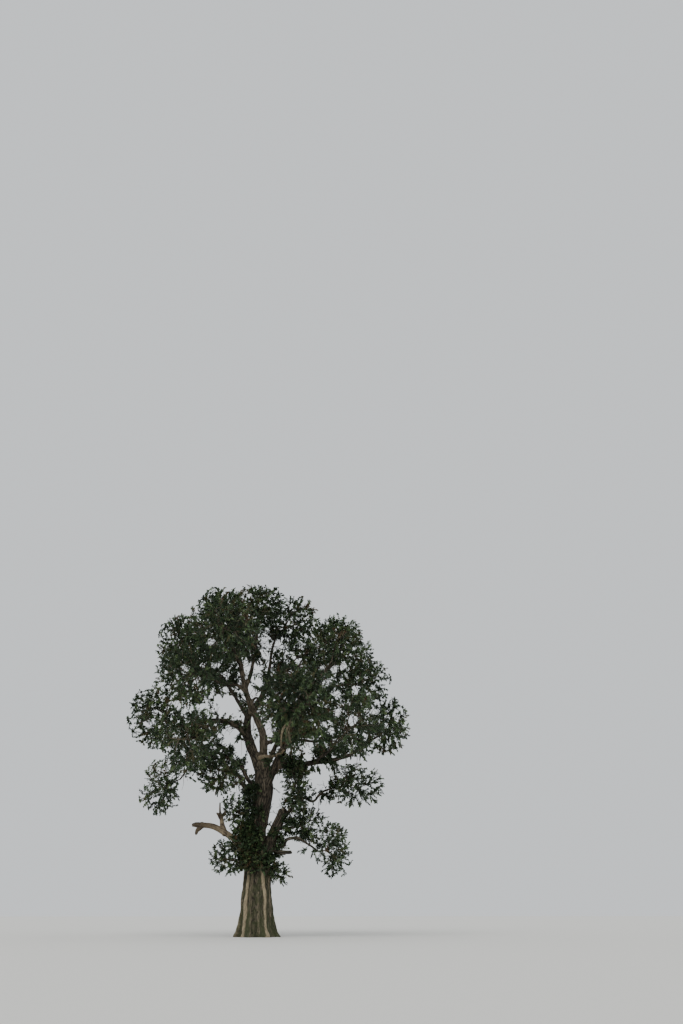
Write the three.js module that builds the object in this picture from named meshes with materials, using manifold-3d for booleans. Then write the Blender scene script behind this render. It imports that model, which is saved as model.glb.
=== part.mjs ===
// A banyan tree, about 23 m high, in millimetres with +Z up.
// The origin is the middle of the flat cut at ground level, under the trunk.
// Seen from the front (along +Y), +X is to the right.

import * as THREE from "three";
import { mergeVertices } from "three/addons/utils/BufferGeometryUtils.js";
import Module from "manifold-3d";

const wasm = await Module();
wasm.setup();

// Clearances: between pieces that meet, round a limb, and from one mass to the next
const TOUCH_GAP = 0.35;
const LIMB_CLEARANCE = 12;
const SPACE_CLEARANCE = 20;

// Facets: a limb thicker than THICK_LIMB at its start gets more sides
const TRUNK_SIDES = 18;
const THICK_LIMB = 150;
const THICK_SIDES = 8;
const THIN_SIDES = 5;
const BLUNT_END = 0.62;
const TWIG_SIDES = 3;
const STEP_LENGTH = 1500;

// Points closer than WELD are one, and spans with less slope than NEARLY_PARALLEL don't meet
const WELD = 1e-3;
const NEARLY_PARALLEL = 1e-9;

// Trunk: its lean, its taper by height, and the lobes that its roots make at the foot
const TRUNK_AXIS = [
  [0, 0, 0], [-100, 0, 3600], [-190, 0, 6000], [50, 0, 8000], [150, 0, 9300], [20, 0, 11000],
];
const TRUNK_TAPER = [
  [0, 1230], [250, 1130], [700, 1030], [1400, 950], [2400, 880], [3600, 830], [4800, 720],
  [6000, 570], [6900, 590], [8000, 640], [8800, 650], [9500, 620], [10100, 570], [10700, 450],
  [11000, 260],
];
const ROOT_LOBES = 6;
const LOBE_SWELL = 0.2;
const LOBE_HEIGHT = 1500;

// The dead stub that lies across the fork, fused to the trunk
const STUB = {
  through: [[50, -450, 11000], [600, -950, 11000], [1150, -1500, 11000], [1400, -1900, 11200]],
  radii: [120, 60],
};

// Limbs: each starts on the axis of another, a share of the way along it, and tapers
// through its points. An earlier limb is cut away from every later one. A spur is a short
// broken side branch that is one piece with its limb.
const LIMBS = {
  central_leader: {
    on: "trunk", at: 0.9, radii: [310, 90],
    through: [[100, -100, 11250], [-100, -100, 12700], [-700, -100, 14100], [-1250, 0, 15350],
      [-1600, 100, 17000], [-1950, 100, 18600], [-2200, 0, 19700]],
  },
  left_leader: {
    on: "trunk", at: 0.9, radii: [380, 130],
    through: [[-650, 50, 11450], [-1050, 300, 12750], [-950, 600, 13950], [-400, 900, 14750],
      [100, 1100, 15850], [650, 1300, 16750]],
  },
  left_bough: {
    on: "left_leader", at: 0.22, radii: [270, 80],
    through: [[-1200, -200, 12450], [-2000, -700, 13050], [-3550, -1300, 13150], [-5700, -1200, 12700]],
  },
  upper_right_leader: {
    on: "left_leader", at: 0.84, radii: [130, 70],
    through: [[300, 1500, 17200], [400, 1700, 18400], [850, 2000, 20300]],
  },
  top_right_leader: {
    on: "central_leader", at: 0.59, radii: [150, 70],
    through: [[-950, 200, 16550], [-750, 400, 17900], [-600, 400, 20200]],
  },
  high_left_bough: {
    on: "central_leader", at: 0.57, radii: [140, 70],
    through: [[-2050, 300, 15900], [-2900, 600, 15950], [-4600, 1000, 17150]],
  },
  rising_right_bough: {
    on: "trunk", at: 0.8, radii: [300, 90],
    through: [[550, -500, 9650], [1050, -900, 10700], [1600, -1400, 12100], [2250, -1600, 14000],
      [4500, -1200, 17200]],
  },
  level_right_bough: {
    on: "rising_right_bough", at: 0.19, radii: [220, 70],
    through: [[1700, -900, 10400], [2900, -600, 10550], [5600, 0, 11100], [7200, 400, 12150],
      [8000, 400, 12600]],
  },
  middle_right_bough: {
    on: "central_leader", at: 0.19, radii: [140, 70],
    through: [[1050, 500, 12200], [2400, 1400, 12350], [5150, 3200, 12600]],
  },
  right_side_bough: {
    on: "rising_right_bough", at: 0.68, radii: [110, 60],
    through: [[3750, -1200, 15300], [5550, -400, 15900]],
  },
  hanging_right_bough: {
    on: "level_right_bough", at: 0.12, radii: [90, 60],
    through: [[2000, -1200, 10050], [2150, -1400, 9550]],
  },
  right_stem: {
    on: "trunk", at: 0.34, radii: [420, 300], blunt: true,
    through: [[450, -300, 4900], [800, -400, 5900], [1350, -500, 7250]],
    spurs: [
      { through: [[900, -450, 5150], [1350, -900, 5000], [1950, -1250, 4950]], radii: [130, 100] },
    ],
  },
  winding_bough: {
    on: "right_stem", at: 0.86, radii: [130, 60],
    through: [[1900, -350, 7600], [2700, -200, 8400], [3450, 0, 8200], [4050, 100, 8800],
      [5100, 300, 9200]],
  },
  arch_rise: {
    on: "right_stem", at: 0.5, radii: [130, 100],
    through: [[1450, -500, 5350], [1700, -800, 5700], [2300, -1000, 5850]],
  },
  arch_fall: {
    on: "arch_rise", at: 1, radii: [95, 60],
    through: [[2900, -1000, 5550], [3700, -800, 5050]],
  },
  low_left_bough: {
    on: "trunk", at: 0.77, radii: [150, 100],
    through: [[-850, -350, 9450], [-1500, -600, 10450], [-2900, -900, 11150]],
  },
  low_left_end: {
    on: "low_left_bough", at: 1, radii: [95, 55],
    through: [[-3850, -1000, 10850], [-4650, -1000, 10200], [-5250, -1000, 9400]],
  },
  dead_bough: {
    on: "trunk", at: 0.47, radii: [210, 130], dead: true,
    through: [[-1400, -600, 5650], [-2350, -900, 6200], [-3100, -1000, 6550], [-4050, -1000, 6600]],
    spurs: [
      { through: [[-3700, -1000, 6600], [-3950, -1020, 6350], [-4020, -1050, 6150]], radii: [90, 30] },
      { through: [[-2250, -880, 6150], [-2400, -900, 6700], [-2500, -900, 7200], [-2580, -880, 7900]],
        radii: [100, 25] },
    ],
  },
  back_bough: {
    on: "trunk", at: 0.77, radii: [240, 100],
    through: [[100, 1400, 9800], [600, 2800, 11400], [1950, 5200, 14950]],
  },
  back_left_bough: {
    on: "left_leader", at: 0.13, radii: [200, 90],
    through: [[-900, 1000, 12400], [-1200, 2300, 14100], [-3100, 5000, 17500]],
  },
  low_back_bough: {
    on: "trunk", at: 0.72, radii: [160, 70],
    through: [[-950, 1600, 9050], [-1900, 3000, 10400], [-3000, 4200, 11350]],
  },
  front_right_bough: {
    on: "rising_right_bough", at: 0.28, radii: [160, 80],
    through: [[1650, -2400, 11650], [2350, -5000, 13050]],
  },
  front_level_bough: {
    on: "level_right_bough", at: 0.34, radii: [110, 60],
    through: [[3950, -2000, 10850], [4900, -4400, 11600]],
  },
  front_left_bough: {
    on: "left_bough", at: 0.58, radii: [110, 60],
    through: [[-3650, -2400, 12550], [-4450, -4600, 11350]],
  },
  front_high_left_bough: {
    on: "high_left_bough", at: 0.42, radii: [100, 55],
    through: [[-3450, -1000, 15900], [-4350, -3600, 15650]],
  },
  front_top_bough: {
    on: "central_leader", at: 0.71, radii: [100, 55],
    through: [[-1900, -1400, 17350], [-2600, -4000, 18700]],
  },
  back_top_bough: {
    on: "top_right_leader", at: 0.41, radii: [90, 55],
    through: [[-1000, 1700, 18650], [-1400, 4400, 21600]],
  },
  back_right_bough: {
    on: "rising_right_bough", at: 0.78, radii: [110, 55],
    through: [[4050, 300, 16700], [5700, 3800, 19150]],
  },
};

// Aerial roots that have grown down the trunk to the ground
const AERIAL_ROOTS = {
  left_aerial_root: { bearing: -135, top: 3800, radii: [130, 70] },
  right_aerial_root: { bearing: -62, top: 5100, radii: [110, 60] },
};

const AERIAL_ROOT_LEVELS = [0, 0.12, 0.35, 0.65, 1];

// Masses of foliage: the limb that bears each, at its tip or a share of the way along it,
// and the middle and half sizes of its ellipsoid
const MASSES = {
  top_left_foliage: {
    on: "central_leader", centre: [-2800, -200, 20850], half: [2100, 2600, 1750],
  },
  top_foliage: {
    on: "top_right_leader", centre: [-450, 500, 21600], half: [2100, 2600, 1450],
  },
  upper_right_foliage: {
    on: "upper_right_leader", centre: [2000, 2000, 20850], half: [2000, 2800, 1800],
  },
  far_upper_right_foliage: {
    on: "rising_right_bough", centre: [4800, -1200, 18700], half: [2000, 2600, 1800],
  },
  right_side_foliage: {
    on: "right_side_bough", centre: [6800, -200, 15850], half: [2000, 2700, 1900],
  },
  far_right_foliage: {
    on: "level_right_bough", centre: [8500, 500, 13250], half: [1600, 2600, 2000],
  },
  centre_foliage: {
    on: "left_leader", centre: [2450, 1600, 17700], half: [2300, 2400, 1900],
  },
  right_foliage: {
    on: "middle_right_bough", centre: [6250, 4200, 14150], half: [2300, 2400, 2300],
  },
  hanging_right_foliage: {
    on: "hanging_right_bough", centre: [2250, -1200, 8950], half: [1100, 1700, 1750],
  },
  low_right_foliage: {
    on: "winding_bough", centre: [6300, 500, 9300], half: [2000, 2200, 1500],
  },
  stem_foliage: {
    on: "right_stem", at: 0.76, centre: [3100, 300, 6700], half: [1600, 1900, 1200],
  },
  weeping_right_foliage: {
    on: "arch_fall", centre: [4750, -600, 5150], half: [1300, 1700, 1800],
  },
  stem_foot_foliage: {
    on: "right_stem", at: 0.15, centre: [1450, -600, 3700], half: [800, 900, 800],
  },
  high_left_foliage: {
    on: "high_left_bough", centre: [-5400, 1000, 18700], half: [2200, 2800, 2200],
  },
  left_foliage: {
    on: "left_bough", centre: [-7000, -900, 13400], half: [1950, 2800, 2100],
  },
  weeping_left_foliage: {
    on: "low_left_end", centre: [-6450, -1000, 8900], half: [1450, 1900, 1800],
  },
  inner_left_foliage: {
    on: "low_left_bough", at: 0.35, centre: [-2650, -800, 9950], half: [1650, 2300, 1600],
  },
  trunk_foliage: {
    on: "trunk", at: 0.6, centre: [-1650, -700, 7600], half: [1000, 1300, 1150],
  },
  low_trunk_foliage: {
    on: "trunk", at: 0.33, centre: [-1850, -600, 4700], half: [1450, 1500, 1200],
  },
  front_top_foliage: {
    on: "front_top_bough", centre: [-2800, -4800, 18350], half: [2700, 2300, 2200],
  },
  front_high_left_foliage: {
    on: "front_high_left_bough", centre: [-4950, -4400, 15400], half: [2100, 2200, 2100],
  },
  front_left_foliage: {
    on: "front_left_bough", centre: [-4700, -4900, 11400], half: [2300, 2200, 2100],
  },
  front_right_foliage: {
    on: "front_right_bough", centre: [2300, -5600, 13450], half: [2900, 2400, 2800],
  },
  front_level_foliage: {
    on: "front_level_bough", centre: [5650, -4800, 12550], half: [2200, 2200, 2200],
  },
  back_top_foliage: {
    on: "back_top_bough", centre: [-1500, 5000, 20600], half: [3000, 2500, 2400],
  },
  back_right_foliage: {
    on: "back_right_bough", centre: [5400, 4800, 18950], half: [2800, 2500, 2600],
  },
  back_left_foliage: {
    on: "back_left_bough", centre: [-4400, 5400, 18150], half: [3000, 2700, 2700],
  },
  back_foliage: {
    on: "back_bough", centre: [2500, 6000, 15850], half: [3000, 2700, 3000],
  },
  low_back_foliage: {
    on: "low_back_bough", centre: [-4700, 5000, 12300], half: [2500, 2300, 2000],
  },
};

// Gaps of open sky, as seen from a spot in front of the tree: the place on the plane
// y = 0 and the half width and height of each
const VIEWPOINT = new THREE.Vector3(0, -67700, 1600);
const SKY_GAPS = [
  [-2400, 14350, 1050, 550], [-2200, 12550, 950, 550], [50, 18850, 550, 650], [950, 18650, 400, 400],
  [-1200, 17550, 250, 750], [-600, 14950, 350, 400], [-700, 12650, 300, 650], [400, 12850, 400, 600],
  [650, 11550, 450, 400], [300, 9900, 250, 500], [1050, 8150, 450, 1100], [-4800, 9100, 500, 950],
  [3850, 9500, 700, 750], [3650, 17050, 550, 300], [4700, 14750, 400, 400], [6000, 14900, 350, 350],
  [4500, 12850, 450, 250], [-5150, 17800, 350, 350], [-5900, 14450, 450, 350],
];

// Twigs. A mass has as many as its size in metres squared, within limits. They head for
// places spread evenly through the outer part of its space, and each leaves the knot that
// is reached with the least length, turning and way back to the stem.
const CROWN_HEART = new THREE.Vector3(0, 0, 14000);
const TWIGS_PER_SIZE = 1;
const FEWEST_TWIGS = 3;
const MOST_TWIGS = 6;
const TRIES_PER_TWIG = 16;
const TIP_SPACING = 0.9;
const HUB_SHARE = 0.5;
const TRUNK_HUB_SHARE = 0.8;
const INNER_REACH = 0.6;
const OUTER_REACH = 0.98;
const SEQUENCE_STRIDE = 7;
const PLASTIC_RATIO = 1.2207440846057596;
const TURN_COST = 0.6;
const PATH_COST = 0.25;

// Each twig bends once on its way, and is thicker where more tips hang on it
const BEND_SHARE = 0.35;
const TWIG_ARCH = 0.07;
const TWIG_TIP_RADIUS = 42;
const TIPS_POWER = 0.3;
const STEM_SHARE = 0.85;
const TRUNK_STEM_RADIUS = 70;
const STEM_SINK = 60;
const NEARLY_UPRIGHT = 0.9;

// Leaves: each stands for a spray, so its length goes with the size of its mass. A place
// is a share of the way back from the twig's end, and a turn out from the twig.
const LEAF_SHARE = 0.75;
const LEAF_PART = 0.85;
const LEAF_SHORTEST = 0.5;
const LEAF_SHORTENING = 0.15;
const LEAF_WIDTH = 0.6;
const LEAF_THICKNESS = 0.03;
const LEAF_SINK = 45;
const LEAF_PLACES = [[0, 0], [0.1, 0.8], [0.35, -0.8], [0.6, 0.8], [0.9, -0.8]];
const ROLL_RANGE = 1.2;
const ROLL_STEP = 2.4;
const SIDE_TILT = Math.PI / 6;
const LEAF_CLEARANCE = 25;

// Finishes
const BARK = { color: 0x5b5347, roughness: 0.95, metalness: 0 };
const DEAD_WOOD = { color: 0xb3a68c, roughness: 0.9, metalness: 0 };
const FOLIAGE = { color: 0x3d5233, roughness: 0.85, metalness: 0 };

const UP = new THREE.Vector3(0, 0, 1);
const EAST = new THREE.Vector3(1, 0, 0);

function vector(values) {
  return new THREE.Vector3(...values);
}

function curveThrough(points) {
  return new THREE.CatmullRomCurve3(points, false, "catmullrom", 0.5);
}

// The value at a height in a list of [height, value] pairs
function valueAt(pairs, height) {
  const above = pairs.findIndex(([level]) => level >= height);
  if (above <= 0) return pairs.at(above)[1];
  const [lowLevel, low] = pairs[above - 1];
  const [highLevel, high] = pairs[above];
  return THREE.MathUtils.mapLinear(height, lowLevel, highLevel, low, high);
}

// A closed unit cylinder whose every point is put in place by its ring, its turn
// round the ring and its share of the radius
function ringed(sides, steps, place) {
  const geometry = new THREE.CylinderGeometry(1, 1, 1, sides, steps);
  const points = geometry.attributes.position;
  const local = new THREE.Vector3();
  for (let i = 0; i < points.count; i += 1) {
    local.fromBufferAttribute(points, i);
    const ring = Math.round((local.y + 0.5) * steps);
    const spot = place(ring, local);
    points.setXYZ(i, spot.x, spot.y, spot.z);
  }
  return geometry;
}

function stepsAlong(curve) {
  return Math.max(2, Math.round(curve.getLength() / STEP_LENGTH));
}

// How far the first or last ring moves out when a shape grows
function endGrowth(ring, last, grow) {
  if (ring === 0) return -grow;
  return ring === last ? grow : 0;
}

// A tapering limb along a curve. grow makes it fatter and longer, for cutting others clear.
function limbShape({ curve, radii, blunt = false }, grow = 0) {
  const steps = stepsAlong(curve);
  const frames = curve.computeFrenetFrames(steps);
  const sides = radii[0] > THICK_LIMB ? THICK_SIDES : THIN_SIDES;
  return ringed(sides, steps, (ring, local) => {
    const share = ring / steps;
    const end = endGrowth(ring, steps, grow);
    const cap = blunt && ring === steps ? BLUNT_END : 1;
    const radius = THREE.MathUtils.lerp(radii[0], radii[1], share) * cap + grow;
    return curve.getPointAt(share)
      .addScaledVector(frames.normals[ring], local.x * radius)
      .addScaledVector(frames.binormals[ring], -local.z * radius)
      .addScaledVector(frames.tangents[ring], end);
  });
}

// The trunk in level rings, with lobes where its roots flare out
const trunkCurve = curveThrough(TRUNK_AXIS.map(vector));

function trunkCentre(height) {
  const last = TRUNK_AXIS.length - 1;
  const shares = TRUNK_AXIS.map((point, i) => [point[2], i / last]);
  return trunkCurve.getPoint(valueAt(shares, height)).setZ(height);
}

function trunkRadius(height, angle) {
  const swell = LOBE_SWELL * Math.exp(-height / LOBE_HEIGHT);
  return valueAt(TRUNK_TAPER, height) * (1 + swell * Math.cos(ROOT_LOBES * angle));
}

function trunkShape(grow = 0) {
  const last = TRUNK_TAPER.length - 1;
  return ringed(TRUNK_SIDES, last, (ring, local) => {
    const height = TRUNK_TAPER[ring][0];
    const size = Math.hypot(local.x, local.z);
    const radius = trunkRadius(height, Math.atan2(local.z, local.x)) + grow;
    return trunkCentre(height)
      .add(new THREE.Vector3(local.x, -local.z, 0).multiplyScalar(size > 0 ? radius / size : 0))
      .addScaledVector(UP, endGrowth(ring, last, grow));
  });
}

// Solids for joining and cutting, each in a frame whose origin is close to the piece
function solid(geometry, origin) {
  const shape = geometry.clone();
  shape.deleteAttribute("normal");
  shape.deleteAttribute("uv");
  shape.translate(-origin.x, -origin.y, -origin.z);
  const welded = mergeVertices(shape, WELD);
  return new wasm.Manifold(new wasm.Mesh({
    numProp: 3,
    vertProperties: welded.attributes.position.array,
    triVerts: new Uint32Array(welded.index.array),
  }));
}

// The largest body of a solid: loose scraps and sealed hollows are dropped
function mainBody(whole) {
  return whole.decompose().reduce((best, body) => (body.volume() > best.volume() ? body : best));
}

function meshOf(name, whole, origin, finish) {
  const data = mainBody(whole).getMesh();
  const geometry = new THREE.BufferGeometry();
  geometry.setAttribute("position", new THREE.BufferAttribute(data.vertProperties, 3));
  geometry.setIndex(new THREE.BufferAttribute(data.triVerts, 1));
  geometry.computeVertexNormals();
  const mesh = new THREE.Mesh(geometry, new THREE.MeshStandardMaterial(finish));
  mesh.name = name;
  mesh.position.copy(origin);
  return mesh;
}

// Limbs, in the order of the table, each with its shape, its box and what it must not touch
const limbs = new Map();
const obstacles = [];

function addObstacles(owner, points, radiusAt) {
  for (let i = 1; i < points.length; i += 1) {
    const radius = Math.max(radiusAt(i - 1), radiusAt(i));
    obstacles.push({ owner, from: points[i - 1], to: points[i], radius });
  }
}

function addLimb(name, shapes, curve, radii) {
  const box = new THREE.Box3();
  for (const shape of shapes(TOUCH_GAP)) {
    shape.computeBoundingBox();
    box.union(shape.boundingBox);
  }
  limbs.set(name, { shapes, curve, radii, box });
}

function addSpan(owner, { curve, radii }) {
  const steps = stepsAlong(curve);
  const radiusAt = (i) => THREE.MathUtils.lerp(radii[0], radii[1], i / steps);
  addObstacles(owner, curve.getSpacedPoints(steps), radiusAt);
}

const stub = { curve: curveThrough(STUB.through.map(vector)), radii: STUB.radii };
const trunkLevels = TRUNK_TAPER.map(([height]) => height);
addLimb("trunk", (grow) => [trunkShape(grow), limbShape(stub, grow)], trunkCurve);
addObstacles("trunk", trunkLevels.map(trunkCentre), (i) => trunkRadius(trunkLevels[i], 0));
addSpan("trunk", stub);

for (const [name, { on, at, through, radii, blunt, spurs = [] }] of Object.entries(LIMBS)) {
  const start = limbs.get(on).curve.getPointAt(at);
  const curve = curveThrough([start, ...through.map(vector)]);
  const spans = [{ curve, radii, blunt }];
  for (const spur of spurs) {
    spans.push({ curve: curveThrough(spur.through.map(vector)), radii: spur.radii });
  }
  addLimb(name, (grow) => spans.map((span) => limbShape(span, grow)), curve, radii);
  for (const span of spans) addSpan(name, span);
}

for (const [name, { bearing, top, radii }] of Object.entries(AERIAL_ROOTS)) {
  const angle = THREE.MathUtils.degToRad(bearing);
  const outward = new THREE.Vector3(Math.cos(angle), Math.sin(angle), 0);
  const points = AERIAL_ROOT_LEVELS.map((share) => trunkCentre(share * top)
    .addScaledVector(outward, trunkRadius(share * top, -angle)));
  const last = points.length - 1;
  const shapes = (grow) => [ringed(THIN_SIDES, last, (ring, local) => {
    const radius = THREE.MathUtils.lerp(radii[0], radii[1], AERIAL_ROOT_LEVELS[ring]) + grow;
    return points[ring].clone().add(new THREE.Vector3(local.x * radius, -local.z * radius, 0));
  })];
  addLimb(name, shapes, curveThrough(points), radii);
  addObstacles(name, points, () => radii[0]);
}

function grownSolid(name, origin) {
  return wasm.Manifold.union(limbs.get(name).shapes(TOUCH_GAP).map((shape) => solid(shape, origin)));
}

function limbMesh(name, earlier) {
  const { shapes, curve, box } = limbs.get(name);
  const origin = curve.getPointAt(0);
  let whole = wasm.Manifold.union(shapes(0).map((shape) => solid(shape, origin)));
  for (const other of earlier) {
    if (box.intersectsBox(limbs.get(other).box)) whole = whole.subtract(grownSolid(other, origin));
  }
  return meshOf(name, whole, origin, LIMBS[name]?.dead ? DEAD_WOOD : BARK);
}

// The space of each mass: its ellipsoid, less what lies past a plane to each neighbour
const spaces = Object.entries(MASSES).map(([name, { on, at = 1, centre, half }], index) => ({
  name, on, at, index, centre: vector(centre), half: vector(half),
  size: Math.cbrt(half[0] * half[1] * half[2]), walls: [],
}));

function reachOf(space, direction) {
  return 1 / direction.clone().divide(space.half).length();
}

for (const space of spaces) {
  for (const other of spaces) {
    if (other === space) continue;
    const way = other.centre.clone().sub(space.centre);
    const distance = way.length();
    way.normalize();
    const own = reachOf(space, way);
    const share = own / (own + reachOf(other, way));
    space.walls.push({ way, limit: distance * share - SPACE_CLEARANCE });
  }
}

function insideSpace(space, point) {
  const local = point.clone().sub(space.centre);
  if (local.clone().divide(space.half).length() > 1) return false;
  return space.walls.every(({ way, limit }) => local.dot(way) < limit);
}

function inSkyGap(point) {
  const share = -VIEWPOINT.y / (point.y - VIEWPOINT.y);
  const x = VIEWPOINT.x + (point.x - VIEWPOINT.x) * share;
  const z = VIEWPOINT.z + (point.z - VIEWPOINT.z) * share;
  return SKY_GAPS.some(([gapX, gapZ, wide, high]) => (
    Math.hypot((x - gapX) / wide, (z - gapZ) / high) < 1));
}

// The least distance between two straight spans
function spanGap(a, b, c, d) {
  const along = b.clone().sub(a);
  const across = d.clone().sub(c);
  const apart = a.clone().sub(c);
  const aa = along.dot(along);
  const bb = across.dot(across);
  const ab = along.dot(across);
  const ac = along.dot(apart);
  const bc = across.dot(apart);
  const clamp = THREE.MathUtils.clamp;
  const slope = aa * bb - ab * ab;
  let s = slope > NEARLY_PARALLEL ? clamp((ab * bc - ac * bb) / slope, 0, 1) : 0;
  const t = clamp((ab * s + bc) / bb, 0, 1);
  s = clamp((ab * t - ac) / aa, 0, 1);
  return a.clone().addScaledVector(along, s).distanceTo(c.clone().addScaledVector(across, t));
}

// The least distance between a span and a triangle
function triangleGap(from, to, triangle) {
  const way = to.clone().sub(from);
  const length = way.length();
  const ray = new THREE.Ray(from, way.normalize());
  const hit = ray.intersectTriangle(triangle.a, triangle.b, triangle.c, false, new THREE.Vector3());
  if (hit && hit.distanceTo(from) <= length) return 0;
  const { a, b, c } = triangle;
  const gaps = [spanGap(from, to, a, b), spanGap(from, to, b, c), spanGap(from, to, c, a)];
  for (const end of [from, to]) {
    gaps.push(triangle.closestPointToPoint(end, new THREE.Vector3()).distanceTo(end));
  }
  return Math.min(...gaps);
}

function twigIsFree(space, from, to, radius) {
  const middle = from.clone().lerp(to, 0.5);
  if (![middle, to].every((point) => insideSpace(space, point)) || inSkyGap(to)) return false;
  return obstacles.every((obstacle) => obstacle.owner === space.name
    || spanGap(from, to, obstacle.from, obstacle.to) > obstacle.radius + radius + LIMB_CLEARANCE);
}

// Whether the outline of one leaf keeps clear of the blade of another
function leavesCross(leaf, other) {
  const outline = [leaf.root, leaf.left, leaf.tip, leaf.right, leaf.root];
  return outline.slice(1).some((corner, i) => other.halves.some((half) => (
    triangleGap(outline[i], corner, half) < LEAF_CLEARANCE)));
}

function leafIsFree(space, leaf, twigs, leaves) {
  const corners = [leaf.tip, leaf.left, leaf.right];
  if (!corners.every((point) => insideSpace(space, point))) return false;
  const spots = [...corners, ...corners.map((point) => point.clone().lerp(leaf.middle, 0.5)), leaf.middle];
  if (spots.some(inSkyGap)) return false;
  const touches = ({ owner, from, to, radius }) => owner !== space.name && leaf.halves.some((half) => (
    triangleGap(from, to, half) < radius + leaf.thickness + LIMB_CLEARANCE));
  if (obstacles.some(touches) || twigs.some(touches)) return false;
  return !leaves.some((other) => leavesCross(leaf, other) || leavesCross(other, leaf));
}

// Where the twigs of a mass head for: first straight out, then evenly through its space
function target(space, k) {
  if (k === 0) {
    const out = space.centre.clone().sub(CROWN_HEART).normalize();
    return space.centre.clone().addScaledVector(out, reachOf(space, out) * OUTER_REACH);
  }
  const place = space.index * SEQUENCE_STRIDE + k;
  const [u, v, w] = [1, 2, 3].map((power) => (place / PLASTIC_RATIO ** power) % 1);
  const level = 1 - 2 * u;
  const round = Math.sqrt(1 - level * level);
  const turn = 2 * Math.PI * v;
  const reach = THREE.MathUtils.lerp(INNER_REACH, OUTER_REACH, Math.cbrt(w));
  return new THREE.Vector3(round * Math.cos(turn), round * Math.sin(turn), level)
    .multiply(space.half).multiplyScalar(reach).add(space.centre);
}

// The stem of a mass, from inside its limb to the hub that its first twigs leave from
for (const space of spaces) {
  const { curve, radii } = limbs.get(space.on);
  const atTip = space.at === 1;
  const tip = curve.getPointAt(space.at);
  space.start = tip.clone().addScaledVector(curve.getTangentAt(1), atTip ? -STEM_SINK : 0);
  space.hub = tip.clone().lerp(space.centre, atTip ? HUB_SHARE : TRUNK_HUB_SHARE);
  space.stemRadius = atTip ? radii[1] * STEM_SHARE : TRUNK_STEM_RADIUS;
  obstacles.push({ owner: space.name, from: tip, to: space.hub, radius: space.stemRadius });
}

// Each target is joined to the knot that it is reached from most easily, by a twig with a
// slight arch that ends a leaf's length short of it
function growTwigs(space) {
  const bySize = Math.round(TWIGS_PER_SIZE * (space.size / 1000) ** 2);
  const wanted = THREE.MathUtils.clamp(bySize, FEWEST_TWIGS, MOST_TWIGS);
  const leafLength = LEAF_SHARE * space.size;
  const wayIn = space.hub.clone().sub(space.start).normalize();
  const knots = [{ spot: space.hub, way: wayIn, path: 0, before: null, tips: 0 }];
  const twigs = [];
  for (let k = 0; k < wanted * TRIES_PER_TWIG && twigs.length < wanted; k += 1) {
    const goal = target(space, k);
    const cost = (knot) => {
      const way = goal.clone().sub(knot.spot);
      const distance = way.length();
      const turn = 1 - knot.way.dot(way.normalize());
      return distance * (1 + TURN_COST * turn) + PATH_COST * knot.path;
    };
    const before = knots.reduce((best, knot) => (cost(knot) < cost(best) ? knot : best));
    const length = before.spot.distanceTo(goal);
    if (length < leafLength) continue;
    if (twigs.some((twig) => twig.goal.distanceTo(goal) < TIP_SPACING * leafLength)) continue;
    const spot = before.spot.clone().lerp(goal, BEND_SHARE).addScaledVector(UP, TWIG_ARCH * length);
    const fall = goal.clone().sub(spot);
    const leaf = Math.min(leafLength, fall.length() * LEAF_PART);
    const endSpot = goal.clone().addScaledVector(fall.normalize(), LEAF_SINK - leaf);
    if (!twigIsFree(space, before.spot, spot, TWIG_TIP_RADIUS * 2)) continue;
    if (!twigIsFree(space, spot, goal, TWIG_TIP_RADIUS)) continue;
    const rise = spot.clone().sub(before.spot).normalize();
    const bend = { spot, way: rise, path: before.path + length * BEND_SHARE, before, tips: 0 };
    const end = { spot: endSpot, way: fall, path: before.path + length, before: bend, tips: 0, leaf };
    knots.push(bend, end);
    twigs.push({ from: before, bend, end, goal });
    for (let knot = end; knot; knot = knot.before) knot.tips += 1;
  }
  return twigs;
}

// The level and rising directions square to a way
function framed(way) {
  const level = way.clone().cross(Math.abs(way.z) > NEARLY_UPRIGHT ? EAST : UP).normalize();
  return { level, rise: level.clone().cross(way) };
}

// A flat leaf, turned out from its twig's way to one side and rolled about its own midrib
function leafAt(spot, twigWay, turn, roll, length) {
  const { level, rise } = framed(twigWay);
  const way = twigWay.clone().multiplyScalar(Math.cos(turn))
    .addScaledVector(level, Math.sin(turn) * Math.cos(SIDE_TILT))
    .addScaledVector(rise, Math.abs(Math.sin(turn)) * Math.sin(SIDE_TILT));
  const across = framed(way).level.applyAxisAngle(way, roll);
  const root = spot.clone().addScaledVector(twigWay, turn === 0 ? -LEAF_SINK : 0);
  const middle = root.clone().addScaledVector(way, length / 2);
  const tip = root.clone().addScaledVector(way, length);
  const left = middle.clone().addScaledVector(across, length * LEAF_WIDTH / 2);
  const right = middle.clone().addScaledVector(across, -length * LEAF_WIDTH / 2);
  const halves = [left, right].map((side) => new THREE.Triangle(root, side, tip));
  const thickness = length * LEAF_THICKNESS / 2;
  return { root, middle, tip, left, right, halves, way, across, length, thickness };
}

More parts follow.
